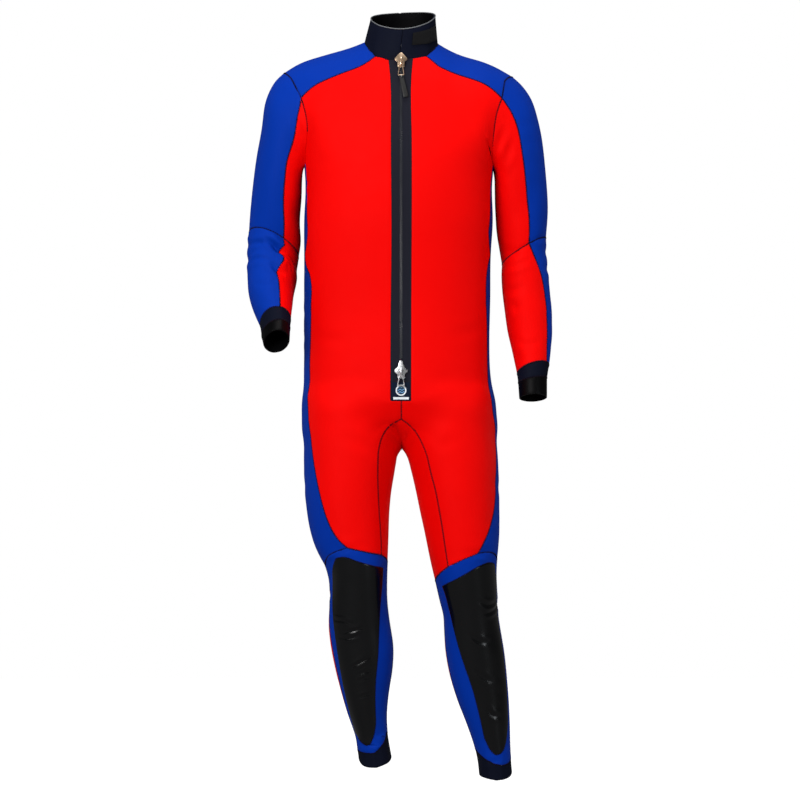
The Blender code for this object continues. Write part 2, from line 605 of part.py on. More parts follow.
def ring_normals(rings):
    """Outward directions on a stack of closed rings."""
    closed = rings[:, :-1]
    around = np.roll(closed, -1, axis=1) - np.roll(closed, 1, axis=1)
    along = np.gradient(closed, axis=0)
    n = np.cross(around, along)
    n /= np.linalg.norm(n, axis=2, keepdims=True)
    middle = closed.mean(axis=1, keepdims=True)
    n *= np.sign(((closed - middle) * n).sum(axis=(1, 2)))[:, None, None]
    return np.concatenate([n, n[:, :1]], axis=1)


rings, ring_out = {}, {}
armhole_out = {}
for s in (-1, 1):
    rings[s] = sleeve_rings(s)
    ring_out[s] = ring_normals(rings[s])
    shared = normal_of(figure, rings[s][0]) + ring_out[s][0]
    shared /= np.linalg.norm(shared, axis=1, keepdims=True)
    ring_out[s][0] = shared
    for point, direction in zip(rings[s][0], shared):
        armhole_out[tuple(np.round(point, 7))] = direction

# ---------------------------------------------------------------- collar
# The collar rises from the neck seam to a rim that dips in front; it meets itself over the zip.
RIM_FRONT = 0.058               # rim depth in front of the neck base
RIM_BACK = 0.050
RIM_LEFT = photo_x(370.8)
RIM_RIGHT = photo_x(435.4)
RIM_HEIGHT = 0.0545
RIM_TILT = 0.30                 # rise of the rim per metre backward
RIM_LEAN = 0.045                # and per metre to the right of the front view
RIM_SIDE_RISE = 0.0068          # how far the rim stands higher at the sides than in front
COLLAR_HEIGHTS = (0.0, 0.18, 1.0)
COLLAR_SPREAD = 0.10            # how far the foot flares, as a share of the lean
FRONT_OPENING = 0.0006

opening = seam["chain", -1][:1]
neck_loop = np.concatenate([
    opening, join(seam["neck_front", -1], seam["neck_side", -1], seam["neck_back", -1][::-1]),
    join(seam["neck_back", 1], seam["neck_side", 1][::-1], seam["neck_front", 1][::-1])[1:],
    seam["chain", 1][:1], opening])


def rim_point(x, y):
    sides = RIM_SIDE_RISE * (1 - (y / RIM_FRONT) ** 2)
    return np.array((x, y, RIM_HEIGHT + RIM_TILT * y + RIM_LEAN * x + sides))


def collar_rings():
    """The foot, the knee and the rim of the collar."""
    centre_x = (RIM_LEFT + RIM_RIGHT) / 2
    steps = np.linalg.norm(np.diff(neck_loop, axis=0), axis=1)
    share = np.concatenate([[0], np.cumsum(steps)]) / steps.sum()
    turn = -math.pi / 2 - 2 * math.pi * share
    half = (RIM_RIGHT - RIM_LEFT) / 2
    depth = np.where(np.sin(turn) < 0, RIM_FRONT, RIM_BACK)
    x = centre_x + half * np.cos(turn)
    y = depth * np.sin(turn)
    rim = np.stack([rim_point(a, b) for a, b in zip(x, y)])
    grid = []
    for height in COLLAR_HEIGHTS:
        lean = height - COLLAR_SPREAD * math.sin(math.pi * height)
        row = neck_loop + (rim - neck_loop) * height
        row[:, :2] = neck_loop[:, :2] + (rim - neck_loop)[:, :2] * (lean + 2 * COLLAR_SPREAD * height * (1 - height))
        grid.append(row)
    grid = np.array(grid)
    grid[:, 0, 0] -= FRONT_OPENING / 2
    grid[:, -1, 0] += FRONT_OPENING / 2
    return grid


collar = collar_rings()
around = np.gradient(collar, axis=1)
up = np.gradient(collar, axis=0)
collar_out = np.cross(up, around)
collar_out /= np.linalg.norm(collar_out, axis=2, keepdims=True)
if (collar_out[1] * (collar[1] - collar[1].mean(axis=0))).sum() < 0:
    collar_out = -collar_out
foot_out = normal_of(figure, collar[0]) + collar_out[0]
collar_out[0] = foot_out / np.linalg.norm(foot_out, axis=1, keepdims=True)
for point, direction in zip(neck_loop, collar_out[0]):
    armhole_out[tuple(np.round(point, 7))] = direction


def outward(grid, field=figure):
    """Outward directions of a body patch; a seam to a sleeve or the collar shares theirs."""
    normals = normal_of(field, grid)
    for i in (0, -1):
        for row, points in ((normals[i], grid[i]), (normals[:, i], grid[:, i])):
            for k, point in enumerate(points):
                key = tuple(np.round(point, 7))
                if key in armhole_out:
                    row[k] = armhole_out[key]
    return normals


# ---------------------------------------------------------------- body panels
for s in (-1, 1):
    name = SIDE_NAMES[s]
    step = np.array([seam["zip", s][-1], ZIP_END])
    inner_edge = join(seam["zip", s], step, seam["centre", 0], seam["gusset", s])
    outer_edge = join(seam["armhole_front", s], seam["side", s])
    top_edge = join(seam["neck_front", s], seam["yoke", s])
    grid = patch(inner_edge, outer_edge, top_edge, seam["knee_front", s])
    wall("front_" + name, "red", grid, outward(grid), WALL)

    grid = patch(seam["side", s], seam["side_back", s], seam["armhole_under", s], seam["knee_side", s])
    wall("side_" + name, "blue", grid, outward(grid), WALL)

    inner_edge = join(seam["centre_back", 0], seam["gusset_back", s])
    outer_edge = join(seam["armhole_back", s], seam["side_back", s])
    top_edge = join(seam["neck_back", s], seam["yoke_back", s])
    grid = patch(inner_edge, outer_edge, top_edge, seam["knee_back", s][::-1])
    wall("back_" + name, "red", grid, outward(grid), WALL)

    grid = patch(seam["neck_side", s], seam["armhole_top", s], seam["yoke", s], seam["yoke_back", s])
    wall("yoke_" + name, "blue", grid, outward(grid), WALL)

# The gusset runs down one leg, up over the crotch and down the other.
front_edge = join(seam["gusset", -1][::-1], seam["gusset", 1])
back_edge = join(seam["gusset_back", -1][::-1], seam["gusset_back", 1])
grid = patch(front_edge, back_edge, seam["knee_inner", -1][::-1], seam["knee_inner", 1][::-1], settle=30)
wall("gusset", "red", grid, outward(grid), WALL)

# ---------------------------------------------------------------- sleeves and cuffs
for s in (-1, 1):
    name = SIDE_NAMES[s]
    for label, first, last in (("upper_sleeve", 0, ELBOW_RING), ("forearm", ELBOW_RING, CUFF_RING)):
        part = slice(first, last + 1)
        outer_part, inner_part = slice(0, OUTER_COLUMNS + 1), slice(OUTER_COLUMNS, None)
        wall(f"{label}_outer_{name}", "blue", rings[s][part, outer_part], ring_out[s][part, outer_part], WALL)
        wall(f"{label}_inner_{name}", "red", rings[s][part, inner_part], ring_out[s][part, inner_part], WALL)
    for label, colour, first, last in (("wrist_cuff", "navy", CUFF_RING, SEAL_RING),
                                       ("wrist_seal", "black_skin", SEAL_RING, len(rings[s]) - 1)):
        tube = rings[s][first:last + 1, :-1].swapaxes(0, 1)
        tube_out = ring_out[s][first:last + 1, :-1].swapaxes(0, 1)
        wall(f"{label}_{name}", colour, tube, tube_out, CUFF_WALL, wrap=True)

# ---------------------------------------------------------------- lower legs
# The knee ring has 20 points; the shin panel takes the front ten stretches, the calf the rest.
SHIN_START, SHIN_STOP = 18, 8
ANKLE_A = (
    # turn from the front toward the outside in degrees, row
    (0, 752.8), (35, 752.4), (70, 750.6), (110, 749.0), (150, 748.0), (180, 746.0), (215, 741.0), (260, 731.5),
    (290, 733.0), (320, 743.0), (360, 752.8),
)
ANKLE_B = (
    (0, 763.8), (35, 765.4), (60, 762.0), (90, 756.0), (120, 752.0), (180, 748.0), (230, 747.0), (270, 748.5),
    (300, 752.5), (330, 759.0), (360, 763.8),
)
ANKLES = {-1: ANKLE_A, 1: ANKLE_B}
CUFF_END_A = (
    (0, 767.6), (45, 766.0), (90, 757.0), (150, 754.0), (200, 754.0), (270, 756.5), (315, 763.0), (360, 767.6),
)
CUFF_END_B = (
    (0, 780.2), (45, 778.6), (90, 770.5), (150, 766.0), (210, 767.0), (270, 774.5), (315, 777.8), (360, 780.2),
)
CUFF_ENDS = {-1: CUFF_END_A, 1: CUFF_END_B}


def leg_ring(side, table, turns):
    """Points of a leg at given turns, at the row that a table gives for each turn."""
    rows = np.array(table, float)
    height = np.interp(turns % 360, rows[:, 0], photo_z(rows[:, 1]))
    edge_1, edge_2, near, far, square = [curve(height) for curve in LEG_CURVES[side]]
    centre = np.stack([(edge_1 + edge_2) / 2, (near + far) / 2, height], axis=-1)
    angle = np.radians(turns)
    reach = np.stack([side * np.sin(angle) * abs(edge_2 - edge_1) / 2, -np.cos(angle) * (far - near) / 2,
                      0 * angle], axis=-1)
    return onto(figure, centre + reach, 8)


# Outline of each knee pad, in four stretches that go round it.
PAD_A = {
    "top": ((383.0, 567.8), (368.6, 564.3), (355.8, 560.3), (344.6, 556.5), (336.5, 557.8)),
    "outer": ((336.5, 557.8), (333.5, 567), (332.9, 594), (334.5, 625.7), (338.4, 654.4), (343.1, 681.5),
              (349.5, 710), (355.8, 732.5)),
    "bottom": ((355.8, 732.5), (363.8, 742.5), (368.4, 744.4), (373.6, 734.5)),
    "inner": ((373.6, 734.5), (375.5, 722), (374.9, 708), (375.3, 683), (377.3, 657.6), (378.8, 630),
              (380, 606), (382, 582.6), (383.0, 567.8)),
}
PAD_B = {
    "top": ((442.4, 586.0), (464.6, 573.8), (480.6, 564.9), (490, 562.2), (494.2, 564.5)),
    "outer": ((494.2, 564.5), (495.4, 575), (496.4, 600), (497.2, 615), (499.6, 632), (502.8, 652),
              (505.2, 675), (506.8, 699), (507.4, 723), (506, 739)),
    "bottom": ((506, 739), (502, 750.5), (496.5, 754.3), (490.2, 748.5), (484.6, 736.5)),
    "inner": ((484.6, 736.5), (479, 712), (472.6, 688), (464.6, 664.4), (456.7, 639), (450.3, 613),
              (445.3, 594), (442.4, 586.0)),
}
PADS = {-1: PAD_A, 1: PAD_B}

for s in (-1, 1):
    name = SIDE_NAMES[s]
    knee = join(seam["knee_front", s], seam["knee_side", s], seam["knee_back", s], seam["knee_inner", s])[:-1]
    count = len(knee)
    edge_1, edge_2, near, far, square = [curve(knee[:, 2]) for curve in LEG_CURVES[s]]
    turns = np.degrees(np.arctan2(s * (knee[:, 0] - (edge_1 + edge_2) / 2) / abs(edge_2 - edge_1),
                                  -(knee[:, 1] - (near + far) / 2) / (far - near)))
    turns = np.unwrap(turns, period=360)
    ankle = leg_ring(s, ANKLES[s], turns)
    end = leg_ring(s, CUFF_ENDS[s], turns)

    def edge(index):
        return through([knee[index % count], ankle[index % count]], LEG_ROWS)
    order_shin = [k % count for k in range(SHIN_START, SHIN_STOP + count + 1)]
    order_calf = [k % count for k in range(SHIN_STOP, SHIN_START + 1)]
    inner_side, outer_side = edge(SHIN_START), edge(SHIN_STOP)

    grid = patch(outer_side, inner_side, knee[order_calf], ankle[order_calf])
    wall("calf_" + name, "red", grid, outward(grid), WALL)

    # The pad fills a window in the shin panel.
    shin_columns = len(order_shin) - 1
    cuts = {"top": shin_columns, "outer": LEG_ROWS, "bottom": shin_columns, "inner": LEG_ROWS}
    pad = {key: through([front(*p) for p in PADS[s][key]], cuts[key]) for key in cuts}
    window = join(pad["top"], pad["outer"], pad["bottom"], pad["inner"])[:-1]
    border = join(knee[order_shin], outer_side, ankle[order_shin][::-1], inner_side[::-1])[:-1]
    frame = np.stack([border, onto(figure, (border + window) / 2, 12), window], axis=1)
    wall("shin_" + name, "blue", frame, outward(frame), WALL, wrap=True)
    grid = patch(pad["inner"][::-1], pad["outer"], pad["top"], pad["bottom"][::-1])
    wall("knee_pad_" + name, "pad_rubber", grid, outward(grid), WALL, lift=PAD_LIFT)

    cuff = np.stack([ankle, (ankle + end) / 2, end], axis=1)
    cuff[:, 1] = onto(figure, cuff[:, 1], 6)
    wall("ankle_cuff_" + name, "navy", cuff, outward(cuff), CUFF_WALL, wrap=True)

# ---------------------------------------------------------------- collar and its tab
def on_grid(grid, rows, columns):
    """Points of a grid's own faces, at fractional rows and columns."""
    def between(values, places, axis):
        places = np.asarray(places, float)
        low = np.clip(np.floor(places).astype(int), 0, values.shape[axis] - 2)
        share = np.expand_dims(places - low, tuple(k for k in range(values.ndim) if k != axis))
        return np.take(values, low, axis) * (1 - share) + np.take(values, low + 1, axis) * share
    return between(between(grid, rows, 0), columns, 1)


wall("collar", "navy", collar.swapaxes(0, 1), collar_out.swapaxes(0, 1), COLLAR_WALL)

# Hook tab on the collar's front: it narrows toward its free end and turns round to the side.
LAY = 0.0003                    # gap between a piece and what it lies on
TAB_LAY = 0.0010                # more under the tab, over the collar's slightly twisted faces
TAB_THICKNESS = 0.0014
TAB_X = (412.2, 435.0)          # free end and sewn end, pixel columns
TAB_LOW = (0.43, 0.23)          # share of the collar's height at each end
TAB_HIGH = (0.83, 0.74)
right_half = np.arange(24, 16, -1)
middle_x = collar[:2, right_half, 0].mean(axis=0) * 0.5 + collar[2, right_half, 0] * 0.5
ends = np.interp([photo_x(x) for x in TAB_X], middle_x, right_half)
inside = [k for k in right_half if ends[1] + 0.1 < k < ends[0] - 0.1]
tab_columns = np.array([ends[0]] + inside + [ends[1]])
share = (tab_columns - ends[0]) / (ends[1] - ends[0])
foot = COLLAR_HEIGHTS[1]
tab_rows = [[1 + (low + (high - low) * t - foot) / (1 - foot) for t in (0, 1)]
            for low, high in zip(TAB_LOW[0] + (TAB_LOW[1] - TAB_LOW[0]) * share,
                                 TAB_HIGH[0] + (TAB_HIGH[1] - TAB_HIGH[0]) * share)]
tab = np.concatenate([on_grid(collar, r, [c]) for r, c in zip(tab_rows, tab_columns)], axis=1)
tab_out = np.concatenate([on_grid(collar_out, r, [c]) for r, c in zip(tab_rows, tab_columns)], axis=1)
wall("collar_tab", "hook_tab", tab, tab_out, -TAB_LAY, lift=TAB_LAY + TAB_THICKNESS)

# ---------------------------------------------------------------- zip
CHAIN_HEIGHT = 0.0022
PATCH_THICKNESS = 0.0010
CHAIN_ROWS = (79.0, 359.8)      # chain between the two sliders, pixel rows
PATCH_ROWS = (382.6, 400.6)     # woven patch at the foot of the zip
tape = np.stack([seam["zip", -1], seam["chain", -1], seam["chain", 1], seam["zip", 1]], axis=1)
tape_out = outward(tape)
wall("zip_tape", "zip_tape", tape, tape_out, TAPE_WALL)


def tape_places(rows, margin):
    """Places on the tape from one pixel row to another, with every row of the tape between."""
    height = tape[:, 1, 2]
    low, high = np.interp([-photo_z(row) for row in rows], -height, np.arange(len(height)))
    whole = [k for k in range(len(height)) if low + margin < k < high - margin]
    return np.array([low] + whole + [high])


places = tape_places(CHAIN_ROWS, 0.1)
wall("zip_chain", "zip_chain", on_grid(tape, places, [1, 2]), on_grid(tape_out, places, [1, 2]), -LAY,
     lift=LAY + CHAIN_HEIGHT)
places = tape_places(PATCH_ROWS, 0.1)
across = [0.12, 1, 2, 2.88]
wall("zip_patch", "patch", on_grid(tape, places, across), on_grid(tape_out, places, across), -LAY,
     lift=LAY + PATCH_THICKNESS)

# ---------------------------------------------------------------- zip sliders and their pulls
# Each lies in a flat frame: u to the right, v up along the zip, w out of the garment.


def zip_frame(row, lean):
    """A frame on the middle of the tape, leaning back by an angle."""
    point = front(401, row)
    lean = math.radians(lean)
    u, v, w = (1, 0, 0), (0, math.sin(lean), math.cos(lean)), (0, -math.cos(lean), math.sin(lean))
    frame = np.eye(4)
    frame[:3, 0], frame[:3, 1], frame[:3, 2], frame[:3, 3] = u, v, w, point
    return frame


def placed(frame, u, v, w, turn=0.0):
    """The frame moved to a point of its own, turned about w."""
    move = np.eye(4)
    move[:3, 3] = (u, v, w)
    turn = math.radians(turn)
    move[:2, :2] = ((math.cos(turn), -math.sin(turn)), (math.sin(turn), math.cos(turn)))
    return frame @ move


def plate(name, colour, frame, outline, low, high, window=None):
    """A flat piece with its outline in u and v, from w = low to w = high, perhaps with a window."""
    count = len(outline)
    loops = [outline] + ([window] if window else [])
    verts = [(x, y, w) for w in (low, high) for loop in loops for x, y in loop]
    layer = count * len(loops)
    faces = []
    for k in range(count):
        n = (k + 1) % count
        faces.append((k, n, n + layer, k + layer))
        if window:
            a, b = k + count, n + count
            faces.append((a, b, b + layer, a + layer)[::-1])
            faces.append((k, a, b, n))
            faces.append((k + layer, n + layer, b + layer, a + layer))
    if not window:
        faces.append(tuple(range(count))[::-1])
        faces.append(tuple(range(layer, layer + count)))
    thing = mesh_object(name, colour, verts, faces)
    thing.matrix_world = Matrix(frame.tolist())
    return thing


def rounded(half_top, half_bottom, top, bottom, corner, steps=3):
    """A four-sided outline with round corners; it may be wider at one end."""
    points = []
    for x, y, start in ((half_top, top, 0), (-half_top, top, 90), (-half_bottom, bottom, 180),
                        (half_bottom, bottom, 270)):
        cx = x - math.copysign(corner, x)
        cy = y - corner if y == top else y + corner
        for k in range(steps):
            a = math.radians(start + 90 * k / (steps - 1))
            points.append((cx + corner * math.cos(a), cy + corner * math.sin(a)))
    return points


def whole_outline(half):
    """A closed outline from its right half, which runs from top to bottom."""
    return half[::-1] + [(-x, y) for x, y in half if x > 0]


def bridge(name, colour, frame, top, bottom, base, inner_height, bar, width):
    """An arch over a slider: its profile in v and w, its width along u."""
    crown = base + inner_height
    outside = [(top, base), (top, crown + bar * 0.4), (top - bar, crown + bar), (bottom + bar, crown + bar),
               (bottom, crown + bar * 0.4), (bottom, base)]
    inside = [(bottom + bar, base), (bottom + bar, crown - 0.0004), (bottom + bar * 1.4, crown),
              (top - bar * 1.4, crown), (top - bar, crown - 0.0004), (top - bar, base)]
    profile = outside + inside
    count = len(profile)
    verts = [(x, v, w) for x in (-width / 2, width / 2) for v, w in profile]
    faces = [(k, (k + 1) % count, (k + 1) % count + count, k + count) for k in range(count)]
    for shift in (0, count):
        for k in range(count // 2 - 1):
            n = count - 1 - k
            faces.append((k + shift, k + 1 + shift, n - 1 + shift, n + shift))
    thing = mesh_object(name, colour, verts, faces)
    thing.matrix_world = Matrix(frame.tolist())
    return thing


def link(name, colour, frame, half_v, half_w, wire, turns=16, sides=6):
    """An oval wire ring standing in the v-w plane."""
    verts, faces = [], []
    for i in range(turns):
        a = 2 * math.pi * i / turns
        for j in range(sides):
            b = 2 * math.pi * j / sides
            reach = wire * math.cos(b)
            verts.append((wire * math.sin(b), (half_v + reach) * math.cos(a), (half_w + reach) * math.sin(a)))
            n, m = (i + 1) % turns, (j + 1) % sides
            faces.append((i * sides + j, n * sides + j, n * sides + m, i * sides + m))
    thing = mesh_object(name, colour, verts, faces)
    thing.matrix_world = Matrix(frame.tolist())
    return thing


# Top slider: a crown-shaped body, its bridge, a flared pull and a rubber puller on a link.
TOP_FRAME = zip_frame(66.0, 20.0)
TOP_BODY = [(0.0, 0.0215), (0.0030, 0.0205), (0.0112, 0.0110), (0.0118, 0.0080), (0.0098, 0.0060),
            (0.0066, 0.0045), (0.0064, -0.0060), (0.0050, -0.0074), (0.0, -0.0078)]
BODY_LOW, BODY_HIGH = 0.0024, 0.0058
BRIDGE_WIDTH, BRIDGE_BAR, BRIDGE_ROOM = 0.0026, 0.0016, 0.0060
PULL_W = 0.0088                 # height of the pull's own plane
PULL_THICKNESS = 0.0016
TOP_PIVOT = -0.0030             # v of the pull's bar in its bridge
PULL_BAR = 0.0010               # half of the bar
PULL_REACH = 0.0225             # pivot to the pull's lower edge
LINK_DROP = 0.0217              # pivot to the middle of the pull's lower bar
PULLER_TURN = 12.0              # the puller hangs with its foot to the right
PULLER_LENGTH = 0.0430
PULLER_THICKNESS = 0.0020
GAP = 0.0003

plate("zip_top_slider", "bronze", TOP_FRAME, whole_outline(TOP_BODY), BODY_LOW, BODY_HIGH)
bridge("zip_top_bridge", "bronze", TOP_FRAME, 0.0110, -0.0062, BODY_HIGH + GAP, BRIDGE_ROOM, BRIDGE_BAR,
       BRIDGE_WIDTH)
pivot = placed(TOP_FRAME, 0, TOP_PIVOT, PULL_W)
plate("zip_top_pull", "bronze", pivot, rounded(0.0036, 0.0060, PULL_BAR, -PULL_REACH, 0.0012),
      -PULL_THICKNESS / 2, PULL_THICKNESS / 2,
      rounded(0.0021, 0.0042, -PULL_BAR, -PULL_REACH + 0.0016, 0.0008))
hang = placed(pivot, 0, -LINK_DROP, 0, PULLER_TURN)
link_v, link_w, wire = 0.0035, 0.0024, 0.0006
link("zip_top_link", "steel", placed(hang, 0, -0.0017, 0), link_v, link_w, wire)
plate("zip_top_puller", "puller_rubber", hang,
      rounded(0.0040, 0.0046, -0.0020, -0.0020 - PULLER_LENGTH, 0.0020), -PULLER_THICKNESS / 2,
      PULLER_THICKNESS / 2, rounded(0.0017, 0.0017, -0.0038, -0.0072, 0.0008))

# Bottom slider: the same, longer and pale, with a pull of its own.
BOTTOM_FRAME = zip_frame(371.0, 0.0)
BOTTOM_BODY = [(0.0, 0.0195), (0.0026, 0.0180), (0.0062, 0.0070), (0.0118, 0.0010), (0.0120, -0.0020),
               (0.0070, -0.0060), (0.0068, -0.0125), (0.0050, -0.0140), (0.0, -0.0143)]
plate("zip_bottom_slider", "steel", BOTTOM_FRAME, whole_outline(BOTTOM_BODY), 0.0008, 0.0042)
bridge("zip_bottom_bridge", "steel", BOTTOM_FRAME, 0.0060, -0.0120, 0.0042 + GAP, BRIDGE_ROOM, BRIDGE_BAR,
       BRIDGE_WIDTH)
pivot = placed(BOTTOM_FRAME, 0, -0.0088, 0.0042 + GAP + BRIDGE_ROOM / 2)
plate("zip_bottom_pull", "steel", pivot, rounded(0.0040, 0.0072, PULL_BAR, -0.0200, 0.0014),
      -PULL_THICKNESS / 2, PULL_THICKNESS / 2, rounded(0.0022, 0.0046, -PULL_BAR, -0.0172, 0.0010))
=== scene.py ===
# A one-piece diving wetsuit in red and blue, dressed over its solids: cloth panels with their folds
# and seams, glossy knee pads, a stand collar with its tab, and a two-slider front zip.

import math

import bpy
import numpy as np
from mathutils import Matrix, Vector
from mathutils.bvhtree import BVHTree


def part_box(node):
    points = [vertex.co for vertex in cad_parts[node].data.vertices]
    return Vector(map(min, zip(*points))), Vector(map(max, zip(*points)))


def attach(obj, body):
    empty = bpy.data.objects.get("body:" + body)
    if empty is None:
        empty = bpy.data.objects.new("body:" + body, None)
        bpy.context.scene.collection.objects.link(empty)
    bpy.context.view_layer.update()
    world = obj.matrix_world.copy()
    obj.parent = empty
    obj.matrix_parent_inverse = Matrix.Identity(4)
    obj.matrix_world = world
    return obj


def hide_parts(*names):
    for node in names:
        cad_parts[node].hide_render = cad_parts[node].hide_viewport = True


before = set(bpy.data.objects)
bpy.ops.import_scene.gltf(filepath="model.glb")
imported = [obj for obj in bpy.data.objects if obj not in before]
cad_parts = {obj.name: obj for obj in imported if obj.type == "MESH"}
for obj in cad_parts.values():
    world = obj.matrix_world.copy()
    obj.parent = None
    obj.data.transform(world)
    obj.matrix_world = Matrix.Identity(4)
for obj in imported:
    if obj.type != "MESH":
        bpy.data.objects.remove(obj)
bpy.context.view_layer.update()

# ---------------------------------------------------------------- the studio
# A pale floor under the hanging suit, a white room, one broad soft light from the front left, one
# from above and a weak one from the right. The camera looks straight at the front.
PHOTO_SIDE = 800                # pixels
PHOTO_SCALE = 0.00187           # metres of garment for one pixel of the front view
NECK_ROW = 50.0                 # the origin's pixel row
CAMERA_AWAY = 16.0
ROOM_LIGHT, ROOM_IN_GLOSS = 0.56, 0.10
FLOOR_Z, FLOOR_GREY, FLOOR_GLOW = -1.47, 0.14, 0.08


def photo_x(column):
    return (column - PHOTO_SIDE / 2) * PHOTO_SCALE


def photo_z(row):
    return (NECK_ROW - row) * PHOTO_SCALE


def node(tree, kind, inputs=(), **settings):
    """A shader node with its settings, and its sockets set or linked."""
    made = tree.nodes.new(kind)
    for name, value in settings.items():
        setattr(made, name, value)
    for name, value in dict(inputs).items():
        if isinstance(value, bpy.types.NodeSocket):
            tree.links.new(value, made.inputs[name])
        else:
            made.inputs[name].default_value = value
    return made


def new_material(name):
    """A material, with its node tree and its surface shader."""
    material = bpy.data.materials.new(name)
    material.use_nodes = True
    return material, material.node_tree, material.node_tree.nodes["Principled BSDF"]


scene = bpy.context.scene
scene.view_settings.view_transform = "Standard"
bpy.ops.object.select_all(action="DESELECT")
bpy.ops.object.camera_add(location=(0.0, -CAMERA_AWAY, photo_z(PHOTO_SIDE / 2)),
                          rotation=(math.radians(90), 0, 0))
scene.camera = bpy.context.object
scene.camera.data.lens = scene.camera.data.sensor_width * CAMERA_AWAY / (PHOTO_SIDE * PHOTO_SCALE)

scene.world = bpy.data.worlds.new("white_room")
scene.world.use_nodes = True
room = scene.world.node_tree
room.nodes.clear()
seen = node(room, "ShaderNodeLightPath")
mirrored = node(room, "ShaderNodeMix", {"Factor": seen.outputs["Is Glossy Ray"], "A": ROOM_LIGHT,
                "B": ROOM_IN_GLOSS}, data_type="FLOAT")
walls = node(room, "ShaderNodeMix", {"Factor": seen.outputs["Is Camera Ray"], "A": mirrored.outputs["Result"],
             "B": 1.0}, data_type="FLOAT")
light = node(room, "ShaderNodeBackground", {"Color": (1, 1, 1, 1), "Strength": walls.outputs["Result"]})
node(room, "ShaderNodeOutputWorld", {"Surface": light.outputs[0]})


def soft_light(name, place, aim, width, height, power, colour=(1, 1, 1)):
    """A rectangular light at a place, turned to its aim."""
    turn = (Vector(place) - Vector(aim)).to_track_quat("Z", "Y").to_euler()
    bpy.ops.object.light_add(type="AREA", location=place, rotation=turn)
    lamp = bpy.context.object
    lamp.name = name
    lamp.data.shape = "RECTANGLE"
    lamp.data.size = width
    lamp.data.size_y = height
    lamp.data.energy = power
    lamp.data.color = colour


soft_light("key", (-2.0, -4.2, 0.9), (0, 0, -0.6), 2.4, 0.8, 158)
soft_light("top", (0.4, -1.2, 4.6), (0, 0, -0.6), 1.6, 1.6, 110)
soft_light("fill", (3.2, -3.2, -0.4), (0, 0, -0.7), 0.6, 1.4, 24, (0.90, 0.95, 1.0))

bpy.ops.mesh.primitive_circle_add(vertices=96, radius=9.0, fill_type="NGON", location=(0, 0, FLOOR_Z))
floor = bpy.context.object
floor.name = "floor"
paint, tree, surface = new_material("floor_white")
surface.inputs["Base Color"].default_value = (FLOOR_GREY, FLOOR_GREY, FLOOR_GREY, 1)
surface.inputs["Roughness"].default_value = 0.9
surface.inputs["Emission Color"].default_value = (1, 1, 1, 1)
seen = node(tree, "ShaderNodeLightPath")
whitened = node(tree, "ShaderNodeMath", {0: seen.outputs["Is Camera Ray"], 1: 1.00, 2: FLOOR_GLOW},
                operation="MULTIPLY_ADD")
tree.links.new(whitened.outputs[0], surface.inputs["Emission Strength"])
floor.data.materials.append(paint)

# ---------------------------------------------------------------- body panels
# Foam rubber with fine nylon jersey on both faces, cut in fronts, backs, sides and a gusset and
# joined edge to edge. The panels keep their solids' form, with rounded edges at the seams.
RED = (0.86, 0.0006, 0.0002)
BLUE = (0.0003, 0.030, 0.33)
EDGE_ROUND = 0.0009
SHARP = math.radians(50)        # between a panel's face and its edge
CORNER = math.radians(24)       # along a panel's edge
LINED = 0.12                    # faces that look outwards less than this show black rubber or lining
IN_RIM = 0.6                    # faces that look outwards less than this are a panel's edge
OUTER = 0.62                    # faces that look outwards more than this are a panel's outer side
BONE_PULL = 7                   # power of the distance by which near bones outweigh far ones
AT_ONCE = 20000                 # points worked on at a time
SETTLING, SETTLE_STEP = 6, 1.25     # rounds, and how far each moves the points towards their place
# The wearer's bones, which every fold presses towards: trunk and legs, and then the arms.
BODY_BONES = (
    ((-0.001, 0.012, 0.055), (0, 0, -0.10), (0, 0.0, -0.40), (0, 0.004, -0.66)),
    ((0, 0.01, -0.10), (-0.17, 0.008, -0.115)),
    ((0, 0.01, -0.10), (0.17, 0.008, -0.115)),
    ((-0.09, 0.01, -0.70), (-0.096, 0.004, -0.80), (-0.088, -0.004, -0.895), (-0.078, -0.003, -1.0),
     (-0.069, 0.006, -1.12), (-0.057, 0.012, -1.22), (-0.051, 0.014, -1.35)),
    ((0.09, 0.01, -0.70), (0.110, 0.004, -0.80), (0.118, -0.003, -0.895), (0.131, -0.003, -1.0),
     (0.1375, 0.01, -1.12), (0.1645, 0.011, -1.22), (0.176, 0.0145, -1.37)),
)
ARM_BONES = (
    ((-0.205, 0.006, -0.12), (-0.226, 0.012, -0.235), (-0.232, 0.023, -0.325), (-0.236, 0.014, -0.40),
     (-0.238, -0.02, -0.452), (-0.233, -0.058, -0.50), (-0.224, -0.102, -0.545)),
    ((0.205, 0.006, -0.12), (0.222, 0.012, -0.235), (0.230, 0.021, -0.33), (0.2335, 0.015, -0.42),
     (0.241, -0.0015, -0.505), (0.247, -0.016, -0.58), (0.2475, -0.026, -0.65)),
)


def along(points, count):
    """Evenly spaced points on a line through the given ones."""
    points = np.asarray(points, float)
    run = np.concatenate(([0.0], np.cumsum(np.linalg.norm(np.diff(points, axis=0), axis=1))))
    at = np.linspace(0, run[-1], count)
    return np.stack([np.interp(at, run, points[:, axis]) for axis in range(3)], axis=1)


bones_of = {"body": np.concatenate([along(bone, 16) for bone in BODY_BONES]),
            "arm": np.concatenate([along(bone, 24) for bone in ARM_BONES])}


